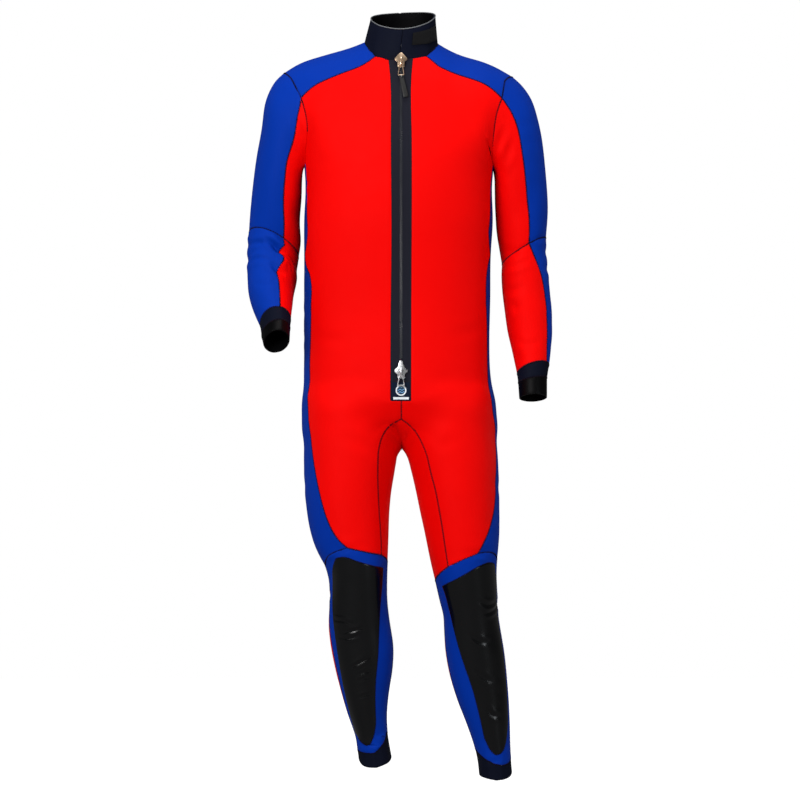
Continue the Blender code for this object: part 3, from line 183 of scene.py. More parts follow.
def outward(points, cad=""):
    """Unit directions away from the bones in that panel, or from every bone, blended where limbs meet."""
    bone_points = np.concatenate(list(bones_of.values()))
    if cad:
        bone_points = bones_of["arm" if cad.startswith(("upper", "forearm", "wrist")) else "body"]
    way = np.empty_like(points)
    for start in range(0, len(points), AT_ONCE):
        gap = points[start:start + AT_ONCE, None] - bone_points[None]
        way[start:start + AT_ONCE] = (gap / np.linalg.norm(gap, axis=2)[..., None] ** BONE_PULL).sum(axis=1)
    return way / np.linalg.norm(way, axis=1)[:, None]


def select_only(piece):
    bpy.ops.object.select_all(action="DESELECT")
    piece.select_set(True)
    bpy.context.view_layer.objects.active = piece


def copy_of(cad, name):
    """A merged copy of a solid, in quads, ready to be worked on."""
    piece = bpy.data.objects.new(name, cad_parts[cad].data.copy())
    bpy.context.collection.objects.link(piece)
    piece.data.materials.clear()
    select_only(piece)
    bpy.ops.object.mode_set(mode="EDIT")
    bpy.ops.mesh.select_all(action="SELECT")
    bpy.ops.mesh.remove_doubles(threshold=0.00003)
    bpy.ops.mesh.tris_convert_to_quads(face_threshold=math.radians(40), shape_threshold=math.radians(60))
    bpy.ops.object.mode_set(mode="OBJECT")
    return piece


def finish_with(piece, kind, **settings):
    """A modifier, set and applied."""
    select_only(piece)
    modifier = piece.modifiers.new(kind.lower(), kind)
    for name, value in settings.items():
        setattr(modifier, name, value)
    bpy.ops.object.modifier_apply(modifier=modifier.name)


def read(items, name, width=1, kind=np.float32):
    """One property of all vertices, edges, corners or faces of a mesh, a row for each."""
    flat = np.empty(len(items) * width, kind)
    items.foreach_get(name, flat)
    return flat.reshape(-1, width) if width > 1 else flat


def vertices_of(mesh):
    return read(mesh.vertices, "co", 3).astype(float)


def move_vertices(mesh, places):
    mesh.vertices.foreach_set("co", places.astype(np.float32).ravel())
    mesh.update()


def lay_pattern(piece):
    """A UV map in metres, laid flat from the side that each face looks to."""
    mesh = piece.data
    layer = mesh.uv_layers.get("cloth") or mesh.uv_layers.new(name="cloth")
    corners = read(mesh.polygons, "loop_total", kind=np.int32)
    facing = np.repeat(np.abs(read(mesh.polygons, "normal", 3)).argmax(axis=1), corners)
    place = vertices_of(mesh)[read(mesh.loops, "vertex_index", kind=np.int32)]
    across = np.where(facing == 0, place[:, 1], place[:, 0])
    up = np.where(facing == 2, place[:, 1], place[:, 2])
    layer.data.foreach_set("uv", np.stack([across, up], axis=1).astype(np.float32).ravel())


def edges_of(mesh):
    """Middle and run of each edge, and the normals of the two faces that meet in it."""
    ends = vertices_of(mesh)[read(mesh.edges, "vertices", 2, np.int32)]
    normal = read(mesh.polygons, "normal", 3).astype(float)
    edge_of = read(mesh.loops, "edge_index", kind=np.int32)
    corners = read(mesh.polygons, "loop_total", kind=np.int32)
    face_of = np.repeat(np.arange(len(corners)), corners)
    order = np.argsort(edge_of, kind="stable")
    edge_of, face_of = edge_of[order], face_of[order]
    first = np.searchsorted(edge_of, np.arange(len(ends)))
    second = np.minimum(first + 1, len(face_of) - 1)
    return ends.mean(axis=1), ends[:, 1] - ends[:, 0], normal[face_of[first]], normal[face_of[second]]


def outer_edges(piece, cad):
    """Middle, direction, length and outward normal of each edge where the outer face meets a seam."""
    middle, run, one, two = edges_of(piece.data)
    sharp = (one * two).sum(axis=1) < math.cos(SHARP)
    way = outward(middle, cad)
    out_one, out_two = (one * way).sum(axis=1), (two * way).sum(axis=1)
    keep = sharp & (np.maximum(out_one, out_two) > OUTER)
    face = np.where((out_one > out_two)[:, None], one, two)[keep]
    run = run[keep]
    length = np.linalg.norm(run, axis=1)
    return middle[keep], run / length[:, None], length, face


panels = {}                     # every cloth panel, by its solid's name
seam_edges = {}                 # and where its outer side meets its seams


def panel(cad, material, levels=2):
    """A cloth panel in place of its solid: the same form, finely divided, with rounded edges."""
    piece = copy_of(cad, cad + "_cloth")
    middle, run, one, two = edges_of(piece.data)
    way = outward(middle, cad)
    turn = (one * two).sum(axis=1)
    in_rim = (np.abs((one * way).sum(axis=1)) < IN_RIM) & (np.abs((two * way).sum(axis=1)) < IN_RIM)
    crease = (turn < math.cos(SHARP)) | (in_rim & (turn < math.cos(CORNER)))
    sharpness = piece.data.attributes.new("crease_edge", "FLOAT", "EDGE")
    sharpness.data.foreach_set("value", crease.astype(np.float32))
    wanted = vertices_of(piece.data)
    settled = wanted.copy()
    divide = piece.modifiers.new("divide", "SUBSURF")
    divide.levels = divide.render_levels = levels
    for _ in range(SETTLING):   # the fine surface still runs through every point of the solid
        bpy.context.view_layer.update()
        fine = vertices_of(piece.evaluated_get(bpy.context.evaluated_depsgraph_get()).data)[:len(wanted)]
        settled += SETTLE_STEP * (wanted - fine)
        move_vertices(piece.data, settled)
    select_only(piece)
    bpy.ops.object.modifier_apply(modifier="divide")
    seam_edges[cad] = outer_edges(piece, cad)
    finish_with(piece, "BEVEL", width=EDGE_ROUND, segments=2, limit_method="ANGLE", angle_limit=SHARP)
    lay_pattern(piece)
    bpy.ops.object.shade_smooth()
    piece.data.materials.append(material)
    piece.data.materials.append(lining)
    faces = piece.data.polygons
    way = outward(read(faces, "center", 3).astype(float), cad)
    inside = (read(faces, "normal", 3) * way).sum(axis=1) < LINED
    faces.foreach_set("material_index", inside.astype(np.int32))
    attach(piece, "garment")
    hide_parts(cad)
    panels[cad] = piece


# The knit of a nylon jersey: small columns of loops, over the faint unevenness of foam rubber. Its colour goes
# towards the second, darker colour at random in broad patches, and as painted shade in the gaps between the
# loops.
knit = bpy.data.node_groups.new("knit", "ShaderNodeTree")
for label, kind, value in (
        ("Colour", "NodeSocketColor", (1, 1, 1, 1)), ("Shade", "NodeSocketColor", (0, 0, 0, 1)),
        ("Loop", "NodeSocketFloat", 0.0015), ("Gap Shade", "NodeSocketFloat", 0.08)):
    knit.interface.new_socket(label, in_out="INPUT", socket_type=kind).default_value = value
for label, kind in (
        ("Colour", "NodeSocketColor"), ("Roughness", "NodeSocketFloat"), ("Height", "NodeSocketFloat")):
    knit.interface.new_socket(label, in_out="OUTPUT", socket_type=kind)
given = node(knit, "NodeGroupInput").outputs
coords = node(knit, "ShaderNodeTexCoord").outputs
laid = node(knit, "ShaderNodeSeparateXYZ", {"Vector": coords["UV"]}).outputs


def maths(tree, operation, first, second=0.0, third=0.0):
    """The result of a Math node."""
    return node(tree, "ShaderNodeMath", {0: first, 1: second, 2: third}, operation=operation).outputs[0]


def noise(tree, vector, scale, detail):
    return node(tree, "ShaderNodeTexNoise", {"Vector": vector, "Scale": scale, "Detail": detail}).outputs["Fac"]


def mixed(tree, share, one, two):
    """A colour between two others."""
    return node(tree, "ShaderNodeMix", {"Factor": share, "A": one, "B": two}, data_type="RGBA").outputs[2]


columns = maths(knit, "DIVIDE", laid["X"], given["Loop"])
rows = maths(knit, "DIVIDE", laid["Y"], given["Loop"])
column = maths(knit, "ABSOLUTE", maths(knit, "SINE", maths(knit, "MULTIPLY", columns, math.pi)))
slant = maths(knit, "MULTIPLY", column, 2.2)
loops = maths(knit, "SINE", maths(knit, "MULTIPLY_ADD", rows, 2.4 * math.pi, slant))
stitch = maths(knit, "MULTIPLY", column, maths(knit, "MULTIPLY_ADD", loops, 0.4, 0.6))
foam = noise(knit, coords["Object"], 38.0, 3.0)
broad = noise(knit, coords["Object"], 7.0, 2.0)
# Painted shade: the colour darkens in the gaps between the loops, where the knit is low.
loop_gap_shade = maths(knit, "MULTIPLY", maths(knit, "SUBTRACT", 1.0, stitch), given["Gap Shade"])
mottle_and_gap_shade = maths(knit, "MULTIPLY_ADD", maths(knit, "SUBTRACT", broad, 0.5), 0.22, loop_gap_shade)
blend = mixed(knit, mottle_and_gap_shade, given["Colour"], given["Shade"])
rough = maths(knit, "MULTIPLY_ADD", foam, 0.16, 0.52)
height = maths(knit, "MULTIPLY_ADD", foam, 1.6, stitch)
node(knit, "NodeGroupOutput", {"Colour": blend, "Roughness": rough, "Height": height})


def jersey(name, colour, shade, loop=0.0015, grain=0.08, sheen=0.008, sheen_tint=(1, 1, 1), relief=0.00022):
    """Knitted nylon on rubber, or a woven tape, with the size of its loops in metres. Grain sets how far the
    gaps between the loops are darkened, as painted shade.
    """
    material, tree, surface = new_material(name)
    cloth = node(tree, "ShaderNodeGroup", node_tree=knit)
    cloth.inputs["Colour"].default_value = (*colour, 1)
    cloth.inputs["Shade"].default_value = (*shade, 1)
    cloth.inputs["Loop"].default_value = loop
    cloth.inputs["Gap Shade"].default_value = grain
    bump = node(tree, "ShaderNodeBump", {"Height": cloth.outputs["Height"], "Strength": 0.5,
                "Distance": relief})
    tree.links.new(cloth.outputs["Colour"], surface.inputs["Base Color"])
    tree.links.new(cloth.outputs["Roughness"], surface.inputs["Roughness"])
    tree.links.new(bump.outputs[0], surface.inputs["Normal"])
    surface.inputs["Specular IOR Level"].default_value = 0.04
    surface.inputs["Sheen Weight"].default_value = sheen
    surface.inputs["Sheen Roughness"].default_value = 0.45
    surface.inputs["Sheen Tint"].default_value = (*sheen_tint, 1)
    return material


lining = jersey("black_lining", (0.0016, 0.0016, 0.002), (0.0006, 0.0006, 0.0008), sheen=0.0)
red_jersey = jersey("red_jersey", RED, (0.34, 0.0, 0.0), sheen_tint=(1, 0.2, 0.15))
blue_jersey = jersey("blue_jersey", BLUE, (0.0, 0.008, 0.11), sheen_tint=(0.2, 0.45, 1))
panel("front_left", red_jersey)
panel("front_right", red_jersey)
panel("back_left", red_jersey)
panel("back_right", red_jersey)
panel("gusset", red_jersey)
panel("side_left", blue_jersey)
panel("side_right", blue_jersey)

# ---------------------------------------------------------------- yokes and sleeves
# A blue yoke caps each shoulder. Each sleeve has a blue outer and a red inner part, cut again at
# the elbow, so that the forearm can be set forward.
panel("yoke_left", blue_jersey)
panel("yoke_right", blue_jersey)
panel("upper_sleeve_outer_left", blue_jersey)
panel("upper_sleeve_outer_right", blue_jersey)
panel("upper_sleeve_inner_left", red_jersey)
panel("upper_sleeve_inner_right", red_jersey)
panel("forearm_outer_left", blue_jersey, levels=3)
panel("forearm_outer_right", blue_jersey, levels=3)
panel("forearm_inner_left", red_jersey, levels=3)
panel("forearm_inner_right", red_jersey, levels=3)

# ---------------------------------------------------------------- wrist and ankle cuffs
# Thin navy jersey bands, turned in and sewn on; the wrists end in seals of smooth bare rubber that
# shut on the skin.
navy_jersey = jersey("navy_jersey", (0.0040, 0.0054, 0.0140), (0.001, 0.0014, 0.004), loop=0.0013, sheen=0.004)


def rubber(name, colour, roughness, grain, relief, specular=0.4):
    """Bare or coated rubber: a faint grain in its gloss."""
    material, tree, surface = new_material(name)
    coords = node(tree, "ShaderNodeTexCoord").outputs
    fine = noise(tree, coords["Object"], 260.0, 3.0)
    patchy = noise(tree, coords["Object"], 22.0, 4.0)
    tone = mixed(tree, patchy, (*colour, 1), (*[c * 1.7 for c in colour], 1))
    gloss = maths(tree, "MULTIPLY_ADD", maths(tree, "SUBTRACT", patchy, 0.5), grain, roughness)
    bump = node(tree, "ShaderNodeBump", {"Height": fine, "Strength": 0.4, "Distance": relief})
    tree.links.new(tone, surface.inputs["Base Color"])
    tree.links.new(gloss, surface.inputs["Roughness"])
    tree.links.new(bump.outputs[0], surface.inputs["Normal"])
    surface.inputs["Specular IOR Level"].default_value = specular
    return material


seal_rubber = rubber("seal_rubber", (0.0008, 0.0008, 0.0010), 0.50, 0.10, 0.00010, specular=0.08)
panel("wrist_cuff_left", navy_jersey)
panel("wrist_cuff_right", navy_jersey)
panel("wrist_seal_left", seal_rubber)
panel("wrist_seal_right", seal_rubber)
panel("ankle_cuff_left", navy_jersey)
panel("ankle_cuff_right", navy_jersey)

# ---------------------------------------------------------------- lower legs
# A red calf and a blue shin frame, with the long pad of glossy coated rubber set into the frame
# over knee and shin and standing a millimetre proud.
pad_rubber = rubber("pad_rubber", (0.0007, 0.0008, 0.0011), 0.23, 0.10, 0.00004, specular=0.30)
panel("calf_left", red_jersey)
panel("calf_right", red_jersey)
panel("shin_left", blue_jersey)
panel("shin_right", blue_jersey)
panel("knee_pad_left", pad_rubber, levels=3)
panel("knee_pad_right", pad_rubber, levels=3)

# ---------------------------------------------------------------- collar and tab
# A navy stand collar of thinner foam rubber that meets itself over the zip. A tab of dark hook tape
# lies round its side and holds it shut.
hook_tab = jersey("hook_tab", (0.0105, 0.0105, 0.0115), (0.004, 0.004, 0.004), loop=0.0011, grain=0.5,
                  sheen=0.03, relief=0.0005)
panel("collar", navy_jersey)
panel("collar_tab", hook_tab)

# ---------------------------------------------------------------- the folds of the pose
# Foam rubber creases where limbs bend and smooths out between: soft troughs with a ridge at either side. Each
# is placed on the side it is seen from, and every panel it crosses shares it.
DEEPEST, HIGHEST = 0.0072, 0.0036       # how far folds press the cloth in and raise it, at most
RIDGE_SHARE = 0.50              # height of the ridges, as a share of the trough's depth
RIDGE_AWAY, RIDGE_WIDTH = 2.1, 1.15     # place and half width of the ridges, in half widths of the trough
FOLD_REACH = 4.5                # half widths past which a fold is no longer felt
FOLD_POINTS, FOLD_ROUNDINGS = 21, 10
FOLD_TAPER = 0.8                # how blunt the two ends of a fold are
ARMPIT_ROW, ARMHOLE_BLEND = 186, 0.035  # above this row and a blend, sleeve and body fold alike
LOOKS = {                       # where a side is seen from, and along which way
    "front": lambda a, row: ((photo_x(a), -1.0, photo_z(row)), (0, 1, 0)),
    "back": lambda a, row: ((photo_x(a), 1.0, photo_z(row)), (0, -1, 0)),
    "left": lambda a, row: ((1.0, a / 1000, photo_z(row)), (-1, 0, 0)),
    "right": lambda a, row: ((-1.0, a / 1000, photo_z(row)), (1, 0, 0)),
}


def faces_of(cads):
    """The faces of some solids together, ready to be met by rays."""
    points, faces = [], []
    for cad in cads:
        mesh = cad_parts[cad].data
        mesh.calc_loop_triangles()
        faces += [tuple(len(points) + i for i in triangle.vertices) for triangle in mesh.loop_triangles]
        points += [tuple(vertex.co) for vertex in mesh.vertices]
    return BVHTree.FromPolygons(points, faces)


solids = faces_of(panels)


def spot(side, a, row):
    """The point of the suit seen there: a is a column in front and back, and a depth in mm at the sides."""
    start, way = (Vector(part) for part in LOOKS[side](a, row))
    return np.array(solids.ray_cast(start, way)[0] or solids.find_nearest(start + way)[0])


# side, points along the fold, depth and half width in mm
FOLDS = (
    # under and before the arms
    ("front", ((305, 160), (310, 170), (309, 181), (304.6, 195)), 3.2, 5.0),
    ("front", ((294, 118), (302, 134), (306, 152)), 1.6, 6.0),
    ("front", ((312, 148), (320, 160), (334, 167)), 1.0, 8.0),
    ("front", ((504, 126), (500, 142), (494, 156)), 3.0, 6.0),
    ("front", ((511, 138), (508, 152), (505, 167)), 1.8, 5.5),
    ("front", ((494, 160), (486, 174), (474, 182)), 1.2, 8.0),
    ("back", ((300, 135), (311, 150), (318, 170)), 2.2, 7.0),
    ("back", ((318, 126), (334, 140), (345, 160)), 1.3, 9.0),
    ("back", ((500, 131), (489, 148), (483, 166)), 2.4, 7.0),
    ("back", ((482, 124), (467, 141), (459, 163)), 1.2, 9.0),
    ("back", ((352, 118), (358, 152), (355, 190)), 0.9, 13.0),
    ("back", ((449, 116), (443, 152), (446, 184)), 1.0, 13.0),
    # elbows
    ("front", ((266, 236), (275, 247), (283, 255)), 5.6, 4.8),
    ("front", ((270, 262), (277, 270), (286, 276)), 4.8, 4.6),
    ("front", ((280, 254), (289, 261), (293, 272)), 3.6, 3.6),
    ("front", ((248, 247), (259, 242), (272, 244)), 2.6, 4.6),
    ("front", ((250, 263), (259, 258), (270, 261)), 2.4, 4.4),
    ("front", ((255, 283), (265, 287), (277, 283)), 1.2, 5.5),
    ("front", ((499, 246), (511, 252), (524, 250)), 1.5, 5.5),
    ("front", ((503, 270), (516, 267), (530, 259)), 2.0, 5.0),
    ("front", ((528, 234), (538, 240), (547, 237)), 1.5, 5.0),
    ("front", ((504, 288), (514, 291), (526, 285)), 1.0, 6.5),
    ("back", ((253, 238), (266, 244), (281, 240)), 1.8, 6.0),
    ("back", ((252, 256), (266, 261), (282, 255)), 2.2, 6.5),
    ("back", ((256, 275), (267, 279), (280, 276)), 1.2, 6.0),
    ("back", ((520, 246), (533, 250), (547, 244)), 1.8, 6.0),
    ("back", ((517, 264), (531, 268), (546, 261)), 2.2, 6.5),
    ("right", ((-12, 240), (12, 246), (38, 243)), 1.5, 6.0),
    ("right", ((-22, 258), (6, 262), (34, 258)), 1.9, 6.0),
    ("left", ((-10, 248), (14, 253), (40, 250)), 1.6, 6.0),
    ("left", ((-20, 268), (8, 271), (36, 266)), 1.7, 6.0),
    # wrists
    ("front", ((261, 301), (271, 306), (284, 303)), 1.1, 4.5),
    ("front", ((517, 341), (529, 346), (542, 340)), 1.0, 5.0),
    ("back", ((520, 330), (532, 334), (545, 329)), 1.2, 5.0),
    # waist and lower back
    ("front", ((314, 334), (332, 341), (352, 340)), 0.9, 9.0),
    ("front", ((483, 326), (467, 334), (447, 335)), 0.8, 9.0),
    ("back", ((326, 316), (358, 326), (393, 323)), 1.9, 9.0),
    ("back", ((408, 331), (438, 336), (470, 326)), 1.7, 9.0),
    ("back", ((344, 344), (370, 351), (401, 352)), 1.4, 8.0),
    ("back", ((315, 297), (334, 306), (355, 309)), 1.2, 8.0),
    ("back", ((486, 301), (468, 311), (444, 312)), 1.3, 8.0),
    ("left", ((-52, 303), (-5, 312), (44, 307)), 1.4, 7.5),
    ("left", ((-40, 329), (8, 336), (52, 331)), 1.7, 7.5),
    ("left", ((-56, 356), (-16, 360), (24, 357)), 1.0, 7.5),
    ("right", ((-48, 309), (-2, 316), (42, 312)), 1.6, 7.5),
    ("right", ((-38, 334), (6, 339), (54, 337)), 1.4, 7.5),
    # crotch and seat
    ("front", ((391, 422), (397, 430), (403, 440)), 5.2, 4.6),
    ("front", ((412, 427), (408, 435), (405, 442)), 2.0, 3.6),
    ("front", ((374, 450), (384, 461), (388, 478)), 1.4, 5.5),
    ("front", ((430, 453), (420, 464), (416, 480)), 1.3, 5.5),
    ("front", ((342, 433), (360, 444), (377, 450)), 0.9, 9.0),
    ("front", ((464, 432), (447, 443), (433, 450)), 0.9, 9.0),
    ("back", ((397, 418), (400, 440), (401, 462)), 2.6, 7.0),
    ("back", ((316, 478), (340, 491), (370, 488)), 2.8, 8.0),
    ("back", ((488, 481), (465, 492), (436, 488)), 2.6, 8.0),
    ("back", ((324, 502), (344, 510), (364, 507)), 1.4, 8.0),
    ("back", ((486, 505), (463, 514), (443, 509)), 1.3, 8.0),
    ("right", ((-58, 470), (-20, 484), (30, 487)), 1.0, 9.0),
    ("left", ((-55, 476), (-15, 488), (34, 490)), 1.0, 9.0),
    # above and behind the knees
    ("front", ((328, 541), (344, 549), (364, 546)), 1.1, 6.5),
    ("front", ((492, 545), (477, 554), (458, 553)), 1.1, 6.5),
    ("back", ((335, 588), (354, 596), (380, 590)), 2.6, 5.5),
    ("back", ((333, 606), (352, 613), (382, 606)), 3.0, 6.0),
    ("back", ((337, 624), (356, 630), (385, 622)), 1.9, 5.5),
    ("back", ((496, 592), (474, 600), (445, 595)), 2.5, 5.5),
    ("back", ((498, 611), (474, 618), (448, 611)), 3.0, 6.0),
    ("back", ((501, 629), (478, 634), (451, 628)), 1.8, 5.5),
    ("right", ((-30, 592), (0, 598), (34, 594)), 1.2, 6.0),
    ("left", ((-30, 600), (2, 606), (38, 603)), 1.2, 6.0),
    # the coated pads
    ("front", ((334, 619), (344, 620), (354, 623)), 1.8, 2.5),
    ("front", ((344, 631), (354, 630), (364, 626)), 1.8, 2.4),
    ("front", ((338, 636), (349, 638), (360, 634)), 1.8, 2.5),
    ("front", ((351, 667), (361, 661), (371, 655)), 1.8, 2.5),
    ("front", ((357, 674), (364, 671), (372, 670)), 1.1, 2.2),
    ("front", ((358, 680), (365, 677), (372, 676)), 1.0, 2.2),
    ("front", ((358, 697), (365, 694), (372, 692)), 1.1, 2.2),
    ("front", ((478, 599), (486, 605), (495, 603)), 1.0, 3.6),
    ("front", ((483, 613), (490, 612), (497, 606)), 1.5, 3.2),
    ("front", ((469, 632), (478, 641), (491, 642)), 1.0, 4.0),
    ("front", ((475, 668), (484, 678), (495, 681)), 0.8, 4.2),
    ("front", ((485, 706), (492, 715), (501, 716)), 1.0, 3.6),
    # ankles
    ("front", ((358, 741), (368, 747), (381, 744)), 0.9, 4.0),
    ("front", ((479, 756), (490, 762), (503, 758)), 0.9, 4.0),
    ("back", ((356, 716), (368, 721), (384, 717)), 1.3, 5.0),
    ("back", ((474, 728), (488, 733), (504, 729)), 1.3, 5.0),
)


def smooth_line(side, points):
    """The line of a fold on the suit, with its corners rounded off."""
    line = along([spot(side, *point) for point in points], FOLD_POINTS)
    for _ in range(FOLD_ROUNDINGS):
        line[1:-1] = (line[:-2] + line[2:]) / 2
    return line


fold_lines = [(smooth_line(side, points), depth / 1000, width / 1000) for side, points, depth, width in FOLDS]

# Where the deep elbow folds drag the seam of a sleeve aside: place, reach and way in mm.
DRAGS = (
    ((281.0, 261.0), 13.0, (8.5, 0, 1.5)),
    ((279.5, 250.5), 9.0, (-2.5, 0, -1.0)),
    ((279.0, 273.0), 10.0, (-3.0, 0, -1.0)),
)
drags = [(spot("front", *place), reach / 1000, np.array(drag) / 1000) for place, reach, drag in DRAGS]


def fold_shift(points):
    """How far the folds lift or press the cloth at each point, in metres."""
    shift = np.zeros(len(points))
    for line, depth, width in fold_lines:
        reach = FOLD_REACH * width
        boxed = (points > line.min(axis=0) - reach) & (points < line.max(axis=0) + reach)
        near = np.nonzero(boxed.all(axis=1))[0]
        if not len(near):
            continue
        away = np.linalg.norm(points[near, None] - line[None], axis=2)
        closest = away.argmin(axis=1)
        far = away.min(axis=1)
        taper = np.sin(np.pi * closest / (len(line) - 1)) ** FOLD_TAPER
        trough = np.exp(-(far / width) ** 2)
        ridge = RIDGE_SHARE * np.exp(-((far - RIDGE_AWAY * width) / (RIDGE_WIDTH * width)) ** 2)
        shift[near] += depth * taper * (ridge - trough)
    return np.clip(shift, -DEEPEST, HIGHEST)


def folded(points, cad):
    """The points moved by the folds. Sleeve and body move alike at the armhole, so the seam stays shut."""
    share = np.clip((points[:, 2] - photo_z(ARMPIT_ROW)) / ARMHOLE_BLEND, 0, 1)[:, None]
    way = outward(points, cad) * (1 - share) + outward(points) * share
    moved = points + way * fold_shift(points)[:, None]
    for place, reach, drag in drags:
        moved += drag * np.exp(-(np.linalg.norm(points - place, axis=1) / reach) ** 2)[:, None]
    return moved


for cad, piece in panels.items():
    if cad not in ("collar", "collar_tab"):
        move_vertices(piece.data, folded(vertices_of(piece.data), cad))
        middle, run, length, face = seam_edges[cad]
        seam_edges[cad] = (folded(middle, cad), run, length, face)

# ---------------------------------------------------------------- seam stitching
# The panels are glued edge to edge and oversewn with dark thread that zigzags across each seam.
THREAD_WIDTH = 0.0012
THREAD_FOOT, THREAD_TOP = -0.0001, 0.0004   # its section, below and above the cloth
STITCH_REACH = 0.0034
STITCH_PITCH = 0.0018
STITCH_ARCH = 0.0003            # rise of a stitch over the middle of the seam
STITCH_SLANT = 0.38             # each way in turn, in radians
SEAM_NEAR = 0.0020              # panels whose edges are closer than this are sewn together
SEWN_NEAR = 0.0016              # a seam already sewn this near, from the other panel, isn't sewn again

thread, tree, surface = new_material("thread")
twist = noise(tree, node(tree, "ShaderNodeTexCoord").outputs["Object"], 900.0, 2.0)
shade = mixed(tree, twist, (0.003, 0.002, 0.006, 1), (0.012, 0.006, 0.014, 1))
tree.links.new(shade, surface.inputs["Base Color"])
surface.inputs["Roughness"].default_value = 0.7
surface.inputs["Specular IOR Level"].default_value = 0.06

# One stitch, lying along X, arched over the seam: an extruded three-sided bar.
bar_points = np.array([(x * STITCH_REACH / 2, y * THREAD_WIDTH / 2, z)
                       for x, lift in ((-1, 0.0), (0, STITCH_ARCH), (1, 0.0))
                       for y, z in ((-1, lift + THREAD_FOOT), (0, lift + THREAD_TOP), (1, lift + THREAD_FOOT))])
bar_faces = [(0, 1, 2), (8, 7, 6)]
for station in (0, 3):
    bar_faces += [(station + a, station + b, station + b + 3, station + a + 3)
                  for a, b in ((1, 0), (2, 1), (0, 2))]


def repeated(name, points, faces, places, axes):
    """One mesh that holds a copy of a small shape at each place, turned to the axes there."""
    turned = np.einsum("nij,pj->npi", axes, points) + places[:, None]
    mesh = bpy.data.meshes.new(name)
    count = len(points)
    mesh.from_pydata(turned.reshape(-1, 3).tolist(), [],
                     [tuple(n * count + i for i in face) for n in range(len(places)) for face in faces])
    piece = bpy.data.objects.new(name, mesh)
    bpy.context.collection.objects.link(piece)
    return piece


GROUPS = {
    "body_stitching": ("front", "back", "side", "gusset", "yoke"),
    "sleeve_stitching": ("upper", "forearm", "wrist"),
    "leg_stitching": ("calf", "shin", "knee", "ankle"),
    "collar_stitching": ("collar",),
}


def cell_of(point, size):
    return tuple((point // size).astype(int))


def near_other(cells, size, cad, point):
    """Whether another panel has a point nearer than the cells' size."""
    i, j, k = cell_of(point, size)
    return any(other != cad and np.linalg.norm(there - point) < size
               for x in (i - 1, i, i + 1) for y in (j - 1, j, j + 1) for z in (k - 1, k, k + 1)
               for other, there in cells.get((x, y, z), ()))


edge_cells = {}                 # points on the seams of every panel, in small cells
for cad, (middle, run, length, face) in seam_edges.items():
    if cad == "collar_tab":
        continue
    for share in (-0.4, -0.2, 0.0, 0.2, 0.4):
        for point in middle + run * length[:, None] * share:
            edge_cells.setdefault(cell_of(point, SEAM_NEAR), []).append((cad, point))

sewn = {}                       # stitches made so far
for name, kinds in GROUPS.items():
    places, axes = [], []
    for cad, (middle, run, length, face) in seam_edges.items():
        if cad == "collar_tab" or not cad.startswith(kinds):
            continue
        for centre, way, size, normal in zip(middle, run, length, face):
            if not near_other(edge_cells, SEAM_NEAR, cad, centre):
                continue
            count = max(1, round(size / STITCH_PITCH))
            for step in range(count):
                place = centre + way * size * ((step + 0.5) / count - 0.5)
                if near_other(sewn, SEWN_NEAR, cad, place):
                    continue
                sewn.setdefault(cell_of(place, SEWN_NEAR), []).append((cad, place))
                across = np.cross(normal, way)
                slant = STITCH_SLANT if len(places) % 2 else -STITCH_SLANT
                one = across * math.cos(slant) + way * math.sin(slant)
                two = np.cross(normal, one)
                places.append(place)
                axes.append(np.stack([one, two, normal], axis=1))
    stitching = repeated(name, bar_points, bar_faces, np.array(places), np.array(axes))
    select_only(stitching)
    bpy.ops.object.mode_set(mode="EDIT")
    bpy.ops.mesh.select_all(action="SELECT")
    bpy.ops.mesh.normals_make_consistent(inside=False)
    bpy.ops.object.mode_set(mode="OBJECT")
    stitching.data.materials.append(thread)
    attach(stitching, "garment")

# ---------------------------------------------------------------- collar binding
# A thin grey tape, folded and sewn over the cut top edge of the collar. It runs as a curve through
# the collar's top edge, sorted round the neck.
RIM_LOW = 0.028                 # the collar's top edge is all higher than this
RIM_STEEP = 0.8                 # and less steep than this, which leaves out its front ends
NECK_X = -0.0015
BINDING_ROUND = 0.0010
middle, run, length, face = seam_edges["collar"]
rim = middle[(middle[:, 2] > RIM_LOW) & (np.abs(run[:, 2]) < RIM_STEEP)]
rim = rim[np.argsort(np.arctan2(rim[:, 0] - NECK_X, -rim[:, 1]))]
bpy.ops.curve.primitive_nurbs_path_add(location=(0, 0, 0))
binding = bpy.context.object
binding.name = "collar_binding"
binding.data.splines.clear()
spline = binding.data.splines.new("POLY")
spline.points.add(len(rim) - 1)
for point, place in zip(spline.points, rim):
    point.co = (*place, 1)
binding.data.bevel_depth = BINDING_ROUND
binding.data.bevel_resolution = 2
binding.data.use_fill_caps = True
select_only(binding)
bpy.ops.object.convert(target="MESH")
bpy.ops.object.shade_smooth()
binding.data.materials.append(rubber("binding_tape", (0.10, 0.105, 0.11), 0.55, 0.1, 0.0002))
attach(binding, "garment")

# ---------------------------------------------------------------- zip
# A wide dark tape is sewn in between the fronts. Two rows of moulded teeth run down its middle
# and mesh, one tooth from the left, one from the right.
ZIP_X = photo_x(401.0)
TOOTH = (0.0034, 0.0021, 0.0012)    # width, height off the tape, thickness
TOOTH_BEVEL = 0.00032
TOOTH_PITCH = 0.0016
TOOTH_ASIDE = 0.0011            # of each row, from the middle of the zip
TOOTH_LIFT = 0.0012             # of a tooth's middle, from the tape
UNDER_SLIDER, ABOVE_FOOT = 0.0004, 0.0008   # where the rows start and end
SLOPE_REACH = 0.004             # over which the tape's slope is taken
tape_cloth = jersey("zip_tape", (0.0150, 0.0150, 0.0240), (0.004, 0.004, 0.007), loop=0.0010, grain=0.35,
                    sheen=0.01, relief=0.0003)
panel("zip_tape", tape_cloth, levels=3)

tooth_plastic = rubber("tooth_plastic", (0.030, 0.032, 0.038), 0.24, 0.2, 0.00005, specular=0.7)
tape_solid = faces_of(["zip_tape"])
chain_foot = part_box("zip_chain")[0][2]
slider_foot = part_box("zip_top_slider")[0][2]

